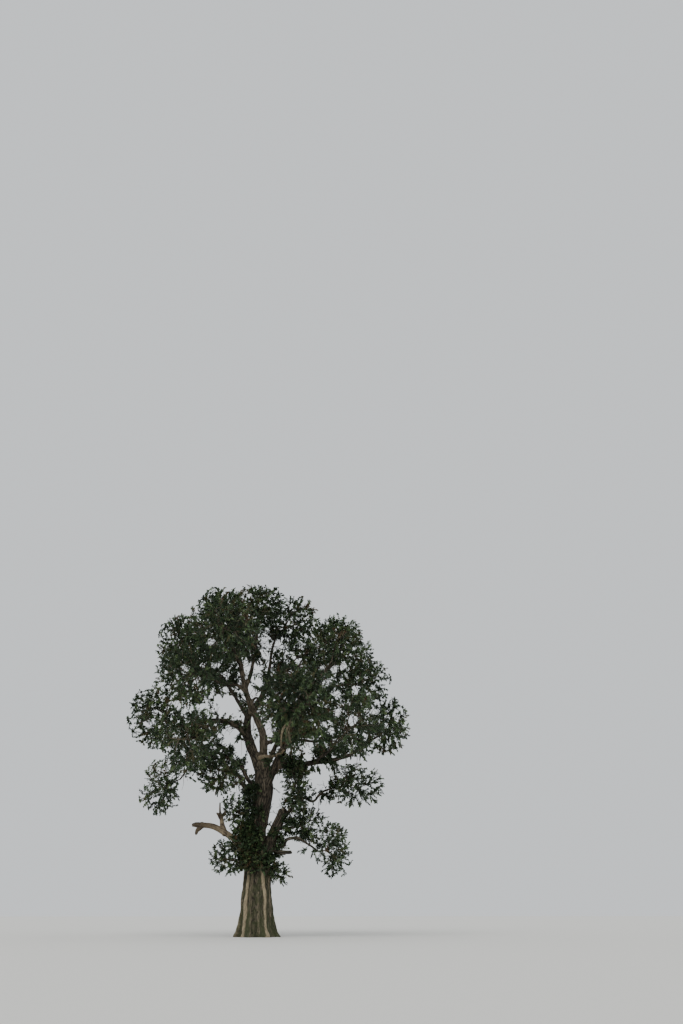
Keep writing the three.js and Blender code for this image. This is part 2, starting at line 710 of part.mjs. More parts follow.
// Each twig bears a leaf that carries on from its end and others on its sides, each as
// long as is free
function growLeaves(space, twigs) {
  const leaves = [];
  const leafLength = LEAF_SHARE * space.size;
  const spans = (twig) => [
    { owner: twig, from: twig.from.spot, to: twig.bend.spot, radius: TWIG_TIP_RADIUS },
    { owner: twig, from: twig.bend.spot, to: twig.end.spot, radius: TWIG_TIP_RADIUS },
  ];
  for (const twig of twigs) {
    const { end, bend } = twig;
    const others = twigs.filter((other) => ![twig.end, twig.bend].includes(other.from));
    const blocks = others.filter((other) => other !== twig).flatMap(spans);
    for (const [share, turn] of LEAF_PLACES) {
      const spot = end.spot.clone().lerp(bend.spot, share);
      const roll = ROLL_RANGE * Math.sin(leaves.length * ROLL_STEP + space.index);
      const full = turn === 0 ? end.leaf : leafLength;
      for (let part = 1; part >= LEAF_SHORTEST; part -= LEAF_SHORTENING) {
        const leaf = leafAt(spot, end.way, turn, roll, full * part);
        if (!leafIsFree(space, leaf, blocks, leaves)) continue;
        leaves.push(leaf);
        break;
      }
    }
  }
  return leaves;
}

function leafShape(leaf) {
  const normal = leaf.way.clone().cross(leaf.across);
  const matrix = new THREE.Matrix4().makeBasis(
    leaf.way.clone().multiplyScalar(leaf.length / 2),
    leaf.across.clone().multiplyScalar(leaf.length * LEAF_WIDTH / 2),
    normal.multiplyScalar(leaf.thickness),
  );
  return new THREE.OctahedronGeometry(1, 0).applyMatrix4(matrix.setPosition(leaf.middle));
}

// A three-sided twig through its points, with a radius at each
function twigShape(points, radii) {
  const last = points.length - 1;
  return ringed(TWIG_SIDES, last, (ring, local) => {
    const behind = points[Math.max(ring - 1, 0)];
    const ahead = points[Math.min(ring + 1, last)];
    const { level, rise } = framed(ahead.clone().sub(behind).normalize());
    return points[ring].clone()
      .addScaledVector(level, local.x * radii[ring])
      .addScaledVector(rise, local.z * radii[ring]);
  });
}

// The stem of a mass runs on into its first twig. The other twigs leave from knots on
// those before them.
function massMesh(space) {
  const twigs = growTwigs(space);
  const leaves = growLeaves(space, twigs);
  const thickest = space.stemRadius * STEM_SHARE;
  const radiusOf = (knot) => Math.min(thickest, TWIG_TIP_RADIUS * knot.tips ** TIPS_POWER);
  const pieces = twigs.map(({ from, bend, end }, index) => {
    const points = [from.spot, bend.spot, end.spot];
    const radii = [radiusOf(bend), radiusOf(bend), TWIG_TIP_RADIUS];
    if (index > 0) return twigShape(points, radii);
    return twigShape([space.start, ...points], [space.stemRadius, thickest, ...radii.slice(1)]);
  });
  pieces.push(...leaves.map(leafShape));
  const origin = space.hub;
  const joined = wasm.Manifold.union(pieces.map((piece) => solid(piece, origin)));
  const bearers = new Set(space.at === 1 ? [space.on] : ["trunk", space.on]);
  const cut = [...bearers].reduce((rest, name) => rest.subtract(grownSolid(name, origin)), joined);
  return meshOf(space.name, cut, origin, FOLIAGE);
}

const group = new THREE.Group();
const limbNames = [...limbs.keys()];
limbNames.forEach((name, index) => group.add(limbMesh(name, limbNames.slice(0, index))));
spaces.forEach((space) => group.add(massMesh(space)));

export default group;
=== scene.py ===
"""A mature banyan tree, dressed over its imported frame, in metres with +Z up.

The limbs and the spaces of the foliage are those of the solids. One skin with the bark's
relief stands for the trunk and the living boughs, and one of bare wood for what is dead.
In each space twigs grow by the rule that grew the solid's own twigs, and then on to
finer ones, which bear sprays of small leaves.
"""

import logging
import math
from collections.abc import Sequence
from dataclasses import dataclass
from enum import Enum

import bmesh
import bpy
import numpy as np
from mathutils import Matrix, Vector, noise

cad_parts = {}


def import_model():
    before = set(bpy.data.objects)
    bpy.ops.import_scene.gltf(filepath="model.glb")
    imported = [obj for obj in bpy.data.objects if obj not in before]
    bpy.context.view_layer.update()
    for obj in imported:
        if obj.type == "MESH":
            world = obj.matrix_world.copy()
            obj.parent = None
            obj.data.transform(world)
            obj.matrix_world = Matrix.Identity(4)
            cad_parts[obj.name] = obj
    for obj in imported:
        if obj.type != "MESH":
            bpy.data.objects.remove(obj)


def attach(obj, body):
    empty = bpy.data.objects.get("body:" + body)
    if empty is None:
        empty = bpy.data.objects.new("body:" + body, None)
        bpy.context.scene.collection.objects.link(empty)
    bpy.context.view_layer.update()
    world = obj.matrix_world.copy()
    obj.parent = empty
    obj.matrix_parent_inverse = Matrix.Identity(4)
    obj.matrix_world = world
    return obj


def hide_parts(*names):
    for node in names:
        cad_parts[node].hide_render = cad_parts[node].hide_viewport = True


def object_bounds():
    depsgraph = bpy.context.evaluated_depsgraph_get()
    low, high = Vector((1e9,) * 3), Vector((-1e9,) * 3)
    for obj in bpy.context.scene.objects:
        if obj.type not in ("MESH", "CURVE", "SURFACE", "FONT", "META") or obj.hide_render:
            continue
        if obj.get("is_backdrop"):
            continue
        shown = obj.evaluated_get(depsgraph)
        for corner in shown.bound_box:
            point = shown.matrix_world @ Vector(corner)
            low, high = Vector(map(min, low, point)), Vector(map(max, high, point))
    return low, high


LOG = logging.getLogger("banyan")

Point = tuple[float, float, float]
Span = tuple[float, float]
Colour = tuple[float, float, float, float]
Socket = bpy.types.NodeSocket

UP = np.array([0.0, 0.0, 1.0])
EAST = np.array([1.0, 0.0, 0.0])
VIEWPOINT = np.array([0.0, -67.7, 1.6])
SEED = 7

# The vectors that are stored with the place of each leaf
LEAF_VECTORS = ("way", "face", "scale")


class Wood(Enum):
    """What a limb is made of."""

    LIVING = "bark"
    DEAD = "dead_wood"


class Region(Enum):
    """The parts of the crown that are pieces of their own."""

    TOP = "top"
    LEFT = "left"
    RIGHT = "right"
    FRONT = "front"
    BACK = "back"
    LOW = "low"
    SHOOT = "shoot"


@dataclass(frozen=True)
class Spur:
    """A short side branch, broken off, that is one piece with its limb.

    Attributes:
        radii: Its radius at its start and at its end.
        through: The points that it passes through.
    """

    radii: Span
    through: tuple[Point, ...]


@dataclass(frozen=True)
class Limb:
    """A tapering limb that starts on the axis of another.

    Attributes:
        name: The name of its node.
        on: The limb that bears it.
        at: Where it starts, as a share of the way along that limb.
        radii: Its radius at its start and at its end.
        through: The points that it passes through.
        spurs: Its broken side branches.
        wood: Whether it is living or dead.
    """

    name: str
    on: str
    at: float
    radii: Span
    through: tuple[Point, ...]
    spurs: tuple[Spur, ...] = ()
    wood: Wood = Wood.LIVING


@dataclass(frozen=True)
class Mass:
    """A mass of foliage on a limb.

    Attributes:
        name: The name of its node.
        on: The limb that bears it.
        centre: The middle of its space.
        half: The half sizes of its space.
        region: The piece of the crown that it goes into.
        fullness: How thickly it grows, where 1 is the thickest.
        at: Where it grows, as a share of the way along its limb.
    """

    name: str
    on: str
    centre: Point
    half: Point
    region: Region
    fullness: float = 0.7
    at: float = 1.0


@dataclass(frozen=True)
class SkyGap:
    """A gap of open sky, on the plane y = 0 as seen from the front.

    Attributes:
        x: Its middle, from left to right.
        z: The height of its middle.
        wide: Its half width.
        high: Its half height.
    """

    x: float
    z: float
    wide: float
    high: float


LIMBS = (
    Limb("central_leader", "trunk", 0.9, (0.31, 0.09),
         ((0.1, -0.1, 11.25), (-0.1, -0.1, 12.7), (-0.7, -0.1, 14.1), (-1.25, 0, 15.35),
          (-1.6, 0.1, 17), (-1.95, 0.1, 18.6), (-2.2, 0, 19.7))),
    Limb("left_leader", "trunk", 0.9, (0.38, 0.13),
         ((-0.65, 0.05, 11.45), (-1.05, 0.3, 12.75), (-0.95, 0.6, 13.95), (-0.4, 0.9, 14.75),
          (0.1, 1.1, 15.85), (0.65, 1.3, 16.75))),
    Limb("left_bough", "left_leader", 0.22, (0.27, 0.08),
         ((-1.2, -0.2, 12.45), (-2, -0.7, 13.05), (-3.55, -1.3, 13.15), (-5.7, -1.2, 12.7))),
    Limb("upper_right_leader", "left_leader", 0.84, (0.13, 0.07),
         ((0.3, 1.5, 17.2), (0.4, 1.7, 18.4), (0.85, 2, 20.3))),
    Limb("top_right_leader", "central_leader", 0.59, (0.15, 0.07),
         ((-0.95, 0.2, 16.55), (-0.75, 0.4, 17.9), (-0.6, 0.4, 20.2))),
    Limb("high_left_bough", "central_leader", 0.57, (0.14, 0.07),
         ((-2.05, 0.3, 15.9), (-2.9, 0.6, 15.95), (-4.6, 1, 17.15))),
    Limb("rising_right_bough", "trunk", 0.8, (0.3, 0.09),
         ((0.55, -0.5, 9.65), (1.05, -0.9, 10.7), (1.6, -1.4, 12.1), (2.25, -1.6, 14),
          (4.5, -1.2, 17.2))),
    Limb("level_right_bough", "rising_right_bough", 0.19, (0.22, 0.07),
         ((1.7, -0.9, 10.4), (2.9, -0.6, 10.55), (5.6, 0, 11.1), (7.2, 0.4, 12.15),
          (8, 0.4, 12.6))),
    Limb("middle_right_bough", "central_leader", 0.19, (0.14, 0.07),
         ((1.05, 0.5, 12.2), (2.4, 1.4, 12.35), (5.15, 3.2, 12.6))),
    Limb("right_side_bough", "rising_right_bough", 0.68, (0.11, 0.06),
         ((3.75, -1.2, 15.3), (5.55, -0.4, 15.9))),
    Limb("hanging_right_bough", "level_right_bough", 0.12, (0.09, 0.06),
         ((2, -1.2, 10.05), (2.15, -1.4, 9.55))),
    Limb("right_stem", "trunk", 0.34, (0.42, 0.3),
         ((0.45, -0.3, 4.9), (0.8, -0.4, 5.9), (1.35, -0.5, 7.25)),
         spurs=(Spur((0.13, 0.1), ((0.9, -0.45, 5.15), (1.35, -0.9, 5), (1.95, -1.25, 4.95))),)),
    Limb("winding_bough", "right_stem", 0.86, (0.13, 0.06),
         ((1.9, -0.35, 7.6), (2.7, -0.2, 8.4), (3.45, 0, 8.2), (4.05, 0.1, 8.8), (5.1, 0.3, 9.2))),
    Limb("arch_rise", "right_stem", 0.5, (0.13, 0.1),
         ((1.45, -0.5, 5.35), (1.7, -0.8, 5.7), (2.3, -1, 5.85))),
    Limb("arch_fall", "arch_rise", 1, (0.095, 0.06), ((2.9, -1, 5.55), (3.7, -0.8, 5.05))),
    Limb("low_left_bough", "trunk", 0.77, (0.15, 0.1),
         ((-0.85, -0.35, 9.45), (-1.5, -0.6, 10.45), (-2.9, -0.9, 11.15))),
    Limb("low_left_end", "low_left_bough", 1, (0.095, 0.055),
         ((-3.85, -1, 10.85), (-4.65, -1, 10.2), (-5.25, -1, 9.4))),
    Limb("dead_bough", "trunk", 0.47, (0.21, 0.13),
         ((-1.4, -0.6, 5.65), (-2.35, -0.9, 6.2), (-3.1, -1, 6.55), (-4.05, -1, 6.6)),
         spurs=(
             Spur((0.15, 0.09), ((-3.7, -1, 6.6), (-3.93, -1.02, 6.35), (-4.02, -1.05, 6.12))),
             Spur((0.16, 0.11), ((-2.25, -0.88, 6.1), (-2.42, -0.9, 6.7), (-2.53, -0.9, 7.2))),
             Spur((0.11, 0.08), ((-2.5, -0.9, 7), (-2.4, -0.93, 7.25), (-2.27, -0.95, 7.36))),
             Spur((0.09, 0.07), ((-2.5, -0.9, 7), (-2.62, -0.86, 7.2), (-2.75, -0.84, 7.3))),
             Spur((0.08, 0.05), ((-2.51, -0.9, 7.05), (-2.58, -0.9, 7.5), (-2.62, -0.88, 7.95))),
         ),
         wood=Wood.DEAD),
    Limb("back_bough", "trunk", 0.77, (0.24, 0.1),
         ((0.1, 1.4, 9.8), (0.6, 2.8, 11.4), (1.95, 5.2, 14.95))),
    Limb("back_left_bough", "left_leader", 0.13, (0.2, 0.09),
         ((-0.9, 1, 12.4), (-1.2, 2.3, 14.1), (-3.1, 5, 17.5))),
    Limb("low_back_bough", "trunk", 0.72, (0.16, 0.07),
         ((-0.95, 1.6, 9.05), (-1.9, 3, 10.4), (-3, 4.2, 11.35))),
    Limb("front_right_bough", "rising_right_bough", 0.28, (0.16, 0.08),
         ((1.65, -2.4, 11.65), (2.35, -5, 13.05))),
    Limb("front_level_bough", "level_right_bough", 0.34, (0.11, 0.06),
         ((3.95, -2, 10.85), (4.9, -4.4, 11.6))),
    Limb("front_left_bough", "left_bough", 0.58, (0.11, 0.06),
         ((-3.65, -2.4, 12.55), (-4.45, -4.6, 11.35))),
    Limb("front_high_left_bough", "high_left_bough", 0.42, (0.1, 0.055),
         ((-3.45, -1, 15.9), (-4.35, -3.6, 15.65))),
    Limb("front_top_bough", "central_leader", 0.71, (0.1, 0.055),
         ((-1.9, -1.4, 17.35), (-2.6, -4, 18.7))),
    Limb("back_top_bough", "top_right_leader", 0.41, (0.09, 0.055),
         ((-1, 1.7, 18.65), (-1.4, 4.4, 21.6))),
    Limb("back_right_bough", "rising_right_bough", 0.78, (0.11, 0.055),
         ((4.05, 0.3, 16.7), (5.7, 3.8, 19.15))),
)

MASSES = (
    Mass("top_left_foliage", "central_leader", (-2.8, -0.2, 20.85), (2.1, 2.6, 1.75),
         Region.TOP, 1.0),
    Mass("top_foliage", "top_right_leader", (-0.45, 0.5, 21.6), (2.1, 2.6, 1.45), Region.TOP, 1.0),
    Mass("upper_right_foliage", "upper_right_leader", (2, 2, 20.85), (2, 2.8, 1.8),
         Region.TOP, 0.8),
    Mass("far_upper_right_foliage", "rising_right_bough", (4.8, -1.2, 18.7), (2, 2.6, 1.8),
         Region.TOP, 0.85),
    Mass("right_side_foliage", "right_side_bough", (6.8, -0.2, 15.85), (2, 2.7, 1.9),
         Region.RIGHT, 0.75),
    Mass("far_right_foliage", "level_right_bough", (8.5, 0.5, 13.25), (1.6, 2.6, 2),
         Region.RIGHT, 0.8),
    Mass("centre_foliage", "left_leader", (2.45, 1.6, 17.7), (2.3, 2.4, 1.9), Region.RIGHT, 1.0),
    Mass("right_foliage", "middle_right_bough", (6.25, 4.2, 14.15), (2.3, 2.4, 2.3),
         Region.RIGHT, 0.65),
    Mass("hanging_right_foliage", "hanging_right_bough", (2.25, -1.2, 8.95), (1.1, 1.7, 1.75),
         Region.LOW, 1.0),
    Mass("low_right_foliage", "winding_bough", (6.3, 0.5, 9.3), (2, 2.2, 1.5), Region.LOW, 0.75),
    Mass("stem_foliage", "right_stem", (3.1, 0.3, 6.7), (1.6, 1.9, 1.2), Region.LOW, 1.0, at=0.76),
    Mass("weeping_right_foliage", "arch_fall", (4.75, -0.6, 5.15), (1.3, 1.7, 1.8),
         Region.LOW, 0.95),
    Mass("stem_foot_foliage", "right_stem", (1.45, -0.6, 3.7), (0.8, 0.9, 0.8),
         Region.LOW, 1.0, at=0.15),
    Mass("high_left_foliage", "high_left_bough", (-5.4, 1, 18.7), (2.2, 2.8, 2.2),
         Region.LEFT, 0.95),
    Mass("left_foliage", "left_bough", (-7, -0.9, 13.4), (1.95, 2.8, 2.1), Region.LEFT, 0.75),
    Mass("weeping_left_foliage", "low_left_end", (-6.45, -1, 8.9), (1.45, 1.9, 1.8),
         Region.LOW, 0.85),
    Mass("inner_left_foliage", "low_left_bough", (-2.65, -0.8, 9.95), (1.65, 2.3, 1.6),
         Region.LOW, 0.9, at=0.35),
    Mass("trunk_foliage", "trunk", (-1.65, -0.7, 7.6), (1, 1.3, 1.15), Region.LOW, 1.0, at=0.6),
    Mass("low_trunk_foliage", "trunk", (-1.85, -0.6, 4.7), (1.45, 1.5, 1.2),
         Region.LOW, 1.0, at=0.33),
    Mass("front_top_foliage", "front_top_bough", (-2.8, -4.8, 18.35), (2.7, 2.3, 2.2),
         Region.FRONT, 0.75),
    Mass("front_high_left_foliage", "front_high_left_bough", (-4.95, -4.4, 15.4),
         (2.1, 2.2, 2.1), Region.LEFT, 0.7),
    Mass("front_left_foliage", "front_left_bough", (-4.7, -4.9, 11.4), (2.3, 2.2, 2.1),
         Region.LEFT, 0.6),
    Mass("front_right_foliage", "front_right_bough", (2.3, -5.6, 13.45), (2.9, 2.4, 2.8),
         Region.FRONT, 1.0),
    Mass("front_level_foliage", "front_level_bough", (5.65, -4.8, 12.55), (2.2, 2.2, 2.2),
         Region.FRONT, 0.55),
    Mass("back_top_foliage", "back_top_bough", (-1.5, 5, 20.6), (3, 2.5, 2.4), Region.BACK, 0.7),
    Mass("back_right_foliage", "back_right_bough", (5.4, 4.8, 18.95), (2.8, 2.5, 2.6),
         Region.BACK, 0.7),
    Mass("back_left_foliage", "back_left_bough", (-4.4, 5.4, 18.15), (3, 2.7, 2.7),
         Region.BACK, 0.7),
    Mass("back_foliage", "back_bough", (2.5, 6, 15.85), (3, 2.7, 3), Region.BACK, 0.7),
    Mass("low_back_foliage", "low_back_bough", (-4.7, 5, 12.3), (2.5, 2.3, 2), Region.BACK, 0.65),
)

SKY_GAPS = tuple(SkyGap(*sizes) for sizes in (
    (-2.4, 14.35, 1.05, 0.55), (-2.2, 12.55, 0.55, 0.35), (0, 18.8, 0.5, 0.75),
    (0.8, 18.6, 0.41, 0.4), (-1.4, 17.3, 0.3, 0.27), (-1, 17.1, 0.33, 0.25),
    (-1.3, 16.4, 0.22, 0.5), (-4.2, 17.1, 0.3, 0.22), (-3.3, 17.1, 0.3, 0.18),
    (-2.7, 16.5, 0.42, 0.33), (-2.6, 15.5, 0.45, 0.22), (-5.4, 16.8, 0.33, 0.3),
    (-4.6, 16, 0.33, 0.33), (-3.7, 18.7, 0.4, 0.3), (-0.7, 15.1, 0.33, 0.55),
    (0.2, 17.7, 0.33, 0.22), (1.7, 16.8, 0.41, 0.17), (2.4, 17.3, 0.25, 0.33),
    (4, 17.1, 0.41, 0.33), (4.8, 17, 0.3, 0.41), (5.4, 17.2, 0.41, 0.3),
    (4.3, 16.1, 0.33, 0.25), (5, 15.3, 0.25, 0.33), (6.2, 15.6, 0.25, 0.48),
    (6, 13.5, 0.5, 0.42), (5, 14.1, 0.25, 0.33), (4.15, 13.2, 0.36, 0.24),
    (4.6, 12.75, 0.24, 0.34), (3, 12, 0.33, 0.33), (4.8, 12.1, 0.33, 0.18),
    (7.4, 14.1, 0.5, 0.25), (7.6, 12.3, 0.33, 0.28), (-0.7, 12.65, 0.3, 0.65),
    (0.4, 12.85, 0.4, 0.6), (0.65, 11.55, 0.45, 0.4), (0.3, 9.9, 0.25, 0.5),
    (1.05, 8.15, 0.45, 1.1), (-4.8, 9.1, 0.5, 0.95), (3.85, 9.4, 0.5, 0.55),
    (-5.9, 14.45, 0.3, 0.25),
))


def unit(ways: np.ndarray) -> np.ndarray:
    """Gives vectors, in the last axis of an array, a length of 1."""
    tiny = 1e-9
    return ways / np.maximum(np.linalg.norm(ways, axis=-1, keepdims=True), tiny)


def framed(ways: np.ndarray) -> tuple[np.ndarray, np.ndarray]:
    """Gives the level and rising directions square to each way.

    Args:
        ways: Vectors with a length of 1.

    Returns:
        The level directions and the rising ones.
    """
    nearly_upright = 0.9
    across = np.where(np.abs(ways[..., 2:]) > nearly_upright, EAST, UP)
    level = unit(np.cross(ways, across))
    return level, np.cross(level, ways)


def grain_at(spots: np.ndarray, size: float, depth: int = 2) -> np.ndarray:
    """Reads smooth noise at points: about -1 to 1, in lumps of a size, in some octaves."""
    scaled = spots / size
    return np.array([noise.fractal(Vector(spot), 1.0, 2.0, depth) for spot in scaled])


class Path:
    """A smooth curve through points, measured along its length."""

    STEPS_PER_SPAN = 40

    def __init__(self, through: Sequence[Sequence[float]]) -> None:
        """Fits a Catmull-Rom curve.

        Args:
            through: The points that it passes through.
        """
        points = np.asarray(through, dtype=float)
        ends = np.vstack([2 * points[0] - points[1], points, 2 * points[-1] - points[-2]])
        t = np.linspace(0, 1, self.STEPS_PER_SPAN, endpoint=False)[:, None, None]
        a, b, c, d = ends[:-3], ends[1:-2], ends[2:-1], ends[3:]
        curve = 0.5 * (2 * b + (c - a) * t + (2 * a - 5 * b + 4 * c - d) * t**2
                       + (3 * b - a - 3 * c + d) * t**3)
        self.spots = np.vstack([curve.transpose(1, 0, 2).reshape(-1, 3), points[-1]])
        steps = np.linalg.norm(np.diff(self.spots, axis=0), axis=1)
        self.marks = np.concatenate([[0.0], np.cumsum(steps)])
        self.length = float(self.marks[-1])

    def at(self, shares: float | np.ndarray) -> np.ndarray:
        """Gives the points at one share of the way along, or at an array of them."""
        marks = np.asarray(shares) * self.length
        return np.stack([np.interp(marks, self.marks, axis) for axis in self.spots.T], axis=-1)

    def way(self, shares: float | np.ndarray) -> np.ndarray:
        """Gives the directions at shares of the way along.

        Args:
            shares: One share, or an array of them.

        Returns:
            Vectors with a length of 1, in the last axis.
        """
        step = 0.01
        low = np.clip(np.asarray(shares) - step, 0, 1)
        high = np.clip(np.asarray(shares) + step, 0, 1)
        return unit(self.at(high) - self.at(low))


@dataclass(frozen=True)
class Shape:
    """A closed shape of points and faces.

    Attributes:
        points: Its points, one in each row.
        faces: The numbers of each face's points.
    """

    points: np.ndarray
    faces: list[tuple[int, ...]]


def rings(loops: np.ndarray) -> Shape:
    """Closes a row of loops into a tube with an end on each side.

    Args:
        loops: The points of each loop, as an array of loops by points by 3.

    Returns:
        The tube, with its faces turned outwards where the loops turn anticlockwise
        about the way that they follow one another.
    """
    count, sides = loops.shape[:2]
    faces: list[tuple[int, ...]] = [tuple(range(sides))[::-1]]
    for ring in range(count - 1):
        for side in range(sides):
            after = (side + 1) % sides
            here, there = ring * sides, (ring + 1) * sides
            faces.append((here + side, here + after, there + after, there + side))
    faces.append(tuple(range((count - 1) * sides, count * sides)))
    return Shape(loops.reshape(-1, 3), faces)


def tube(centres: np.ndarray, radii: np.ndarray, sides: int, torn: bool = False) -> Shape:
    """Makes a round tube with domed ends along a row of centres.

    Args:
        centres: The middle of each ring.
        radii: The radius of each ring.
        sides: How many points each ring has.
        torn: Whether its far end is broken off ragged and hollow, rather than domed.

    Returns:
        The closed tube.
    """
    # Each ring of a dome as its distance out and its size, and each of a torn end as its
    # size and its height. All of these are shares of the radius there.
    dome = ((0.45, 0.89), (0.8, 0.6), (0.97, 0.25))
    hollow = ((0.95, 1.0), (0.6, 0.4), (0.2, 0.1))
    shortest_tooth, tallest_tooth = 0.2, 2.2
    ways = unit(np.gradient(centres, axis=0))
    middles, sizes, facing = list(centres), list(radii), list(ways)
    for out, part in dome:
        middles.insert(0, centres[0] - ways[0] * radii[0] * out)
        sizes.insert(0, radii[0] * part)
        facing.insert(0, ways[0])
        if not torn:
            middles.append(centres[-1] + ways[-1] * radii[-1] * out)
            sizes.append(radii[-1] * part)
            facing.append(ways[-1])
    level = framed(facing[0])[0]
    turns = np.linspace(0, 2 * math.pi, sides, endpoint=False)
    loops = []
    for middle, size, way in zip(middles, sizes, facing):
        level = unit(level - way * level.dot(way))
        around = np.outer(np.cos(turns), level) + np.outer(np.sin(turns), np.cross(way, level))
        loops.append(middle + size * around)
    if torn:
        draw = np.random.default_rng(SEED)
        teeth = draw.uniform(shortest_tooth, tallest_tooth, sides)[:, None]
        around = loops[-1] - centres[-1]
        for part, tall in hollow:
            loops.append(centres[-1] + around * part + ways[-1] * radii[-1] * teeth * tall)
    return rings(np.array(loops))


def mesh_from(name: str, shapes: Sequence[Shape]) -> bpy.types.Mesh:
    """Puts shapes side by side in one mesh.

    Args:
        name: The mesh's name.
        shapes: The shapes that go into it.

    Returns:
        The mesh.
    """
    points = np.vstack([shape.points for shape in shapes])
    faces: list[tuple[int, ...]] = []
    first = 0
    for shape in shapes:
        faces.extend(tuple(corner + first for corner in face) for face in shape.faces)
        first += len(shape.points)
    mesh = bpy.data.meshes.new(name)
    mesh.from_pydata(points.tolist(), [], faces)
    return mesh


def placed(name: str, data: bpy.types.ID) -> bpy.types.Object:
    """Puts a mesh, a lamp or a camera in the scene as an object at the origin."""
    piece = bpy.data.objects.new(name, data)
    bpy.context.scene.collection.objects.link(piece)
    return piece


def applied(piece: bpy.types.Object) -> bpy.types.Object:
    """Turns what an object's modifiers make into its own plain mesh.

    Args:
        piece: The object, whose modifiers are taken off.

    Returns:
        The same object.
    """
    graph = bpy.context.evaluated_depsgraph_get()
    result = bpy.data.meshes.new_from_object(piece.evaluated_get(graph))
    old = piece.data
    piece.modifiers.clear()
    piece.data = result
    bpy.data.meshes.remove(old)
    result.name = piece.name
    return piece


def read_points(mesh: bpy.types.Mesh, part: str) -> np.ndarray:
    """Reads a vector of each point of a mesh, such as its place or its normal."""
    flat = np.empty(len(mesh.vertices) * 3)
    mesh.vertices.foreach_get(part, flat)
    return flat.reshape(-1, 3)


def store(mesh: bpy.types.Mesh, name: str, kind: str, values: np.ndarray) -> None:
    """Stores an attribute of some type on a mesh, with a value for each point."""
    slot = "vector" if kind == "FLOAT_VECTOR" else "value"
    mesh.attributes.new(name, kind, "POINT").data.foreach_set(slot, values.ravel())


def linear(colour: int) -> Colour:
    """Turns an sRGB hex colour into the linear values that a shader takes.

    Args:
        colour: The colour, such as 0x5B5347.

    Returns:
        Linear red, green and blue, and an alpha of 1.
    """
    parts = [((colour >> shift) & 255) / 255 for shift in (16, 8, 0)]
    red, green, blue = (
        part / 12.92 if part <= 0.04045 else ((part + 0.055) / 1.055) ** 2.4 for part in parts
    )
    return red, green, blue, 1.0


def add_node(
    tree: bpy.types.NodeTree,
    kind: str,
    settings: dict[str, object] | None = None,
    inputs: dict[str | int, object] | None = None,
) -> bpy.types.Node:
    """Adds a node with its settings and links.

    Args:
        tree: The node tree that it goes into.
        kind: The node's type name.
        settings: Its properties by name.
        inputs: By the socket's name or number, its value or the socket linked to it.

    Returns:
        The node.
    """
    node = tree.nodes.new(kind)
    for name, value in (settings or {}).items():
        setattr(node, name, value)
    for name, value in (inputs or {}).items():
        if isinstance(value, Socket):
            tree.links.new(value, node.inputs[name])
        else:
            node.inputs[name].default_value = value
    return node


class Shading:
    """A material's node tree, with a short method for each kind of step."""

    def __init__(self, name: str, values: dict[str, object]) -> None:
        """Starts the material.

        Args:
            name: Its name.
            values: The plain values of its shader's inputs.
        """
        self.material = bpy.data.materials.new(name)
        self.material.use_nodes = True
        self.tree = self.material.node_tree
        self.shader = self.tree.nodes["Principled BSDF"]
        for key, value in values.items():
            self.shader.inputs[key].default_value = value

    def place(self) -> Socket:
        """Gives the object coordinates."""
        return add_node(self.tree, "ShaderNodeTexCoord").outputs["Object"]

    def attribute(self, name: str, output: str) -> Socket:
        """Reads an attribute of the mesh."""
        return add_node(self.tree, "ShaderNodeAttribute", {"attribute_name": name}).outputs[output]

    def axis(self, vector: Socket, name: str) -> Socket:
        """Gives the X, Y or Z of a vector."""
        return add_node(self.tree, "ShaderNodeSeparateXYZ", inputs={"Vector": vector}).outputs[name]

    def grain(
        self, place: Socket, scale: float, detail: float, rough: float = 0.5, warp: float = 0.0
    ) -> Socket:
        """Reads a smooth noise, with so many lumps to the metre and so many octaves."""
        inputs = {"Vector": place, "Scale": scale, "Detail": detail, "Roughness": rough,
                  "Distortion": warp}
        return add_node(self.tree, "ShaderNodeTexNoise", inputs=inputs).outputs["Fac"]

    def compute(self, operation: str, *values: Socket | float) -> Socket:
        """Works a number out of others, by one of the operations of a Math node."""
        node = add_node(
            self.tree, "ShaderNodeMath", {"operation": operation}, dict(enumerate(values)))
        return node.outputs["Value"]

    def between(
        self, value: Socket, ends: Span, results: Span = (0.0, 1.0), kind: str = "LINEAR"
    ) -> Socket:
        """Maps a value from the span between two ends to the span of the results."""
        node = add_node(self.tree, "ShaderNodeMapRange", {"interpolation_type": kind},
                        dict(enumerate((value, *ends, *results))))
        return node.outputs["Result"]

    def toned(self, factor: Socket, *stops: tuple[float, Colour]) -> Socket:
        """Turns a number into a colour, by two or more stops of a place and a colour each."""
        node = add_node(self.tree, "ShaderNodeValToRGB", inputs={"Fac": factor})
        elements = node.color_ramp.elements
        while len(elements) < len(stops):
            elements.new(0.5)
        for element, (place, colour) in zip(elements, stops):
            element.position = place
            element.color = colour
        return node.outputs["Color"]

    def ramp(self, factor: Socket, *stops: Span) -> Socket:
        """Turns a number into another, by stops of a place and a value each."""
        return self.toned(factor, *((place, (value, value, value, 1.0)) for place, value in stops))

    def over(self, share: Socket, under: Socket, colour: int, blend: str = "MIX") -> Socket:
        """Lays a plain colour over another one, as far as a share says."""
        node = add_node(
            self.tree, "ShaderNodeMix", {"data_type": "RGBA", "blend_type": blend},
            {"Factor": share, 6: under, 7: linear(colour)},
        )
        return node.outputs[2]

    def finished(
        self, colour: Socket, height: Socket, strength: float, depth: float
    ) -> bpy.types.Material:
        """Links the colour and the relief to the shader.

        Args:
            colour: The colour.
            height: The relief.
            strength: How strongly the relief shows.
            depth: How deep it looks, in metres.

        Returns:
            The material.
        """
        bump = add_node(self.tree, "ShaderNodeBump",
                        inputs={"Strength": strength, "Distance": depth, "Height": height})
        self.tree.links.new(colour, self.shader.inputs["Base Color"])
        self.tree.links.new(bump.outputs["Normal"], self.shader.inputs["Normal"])
        return self.material


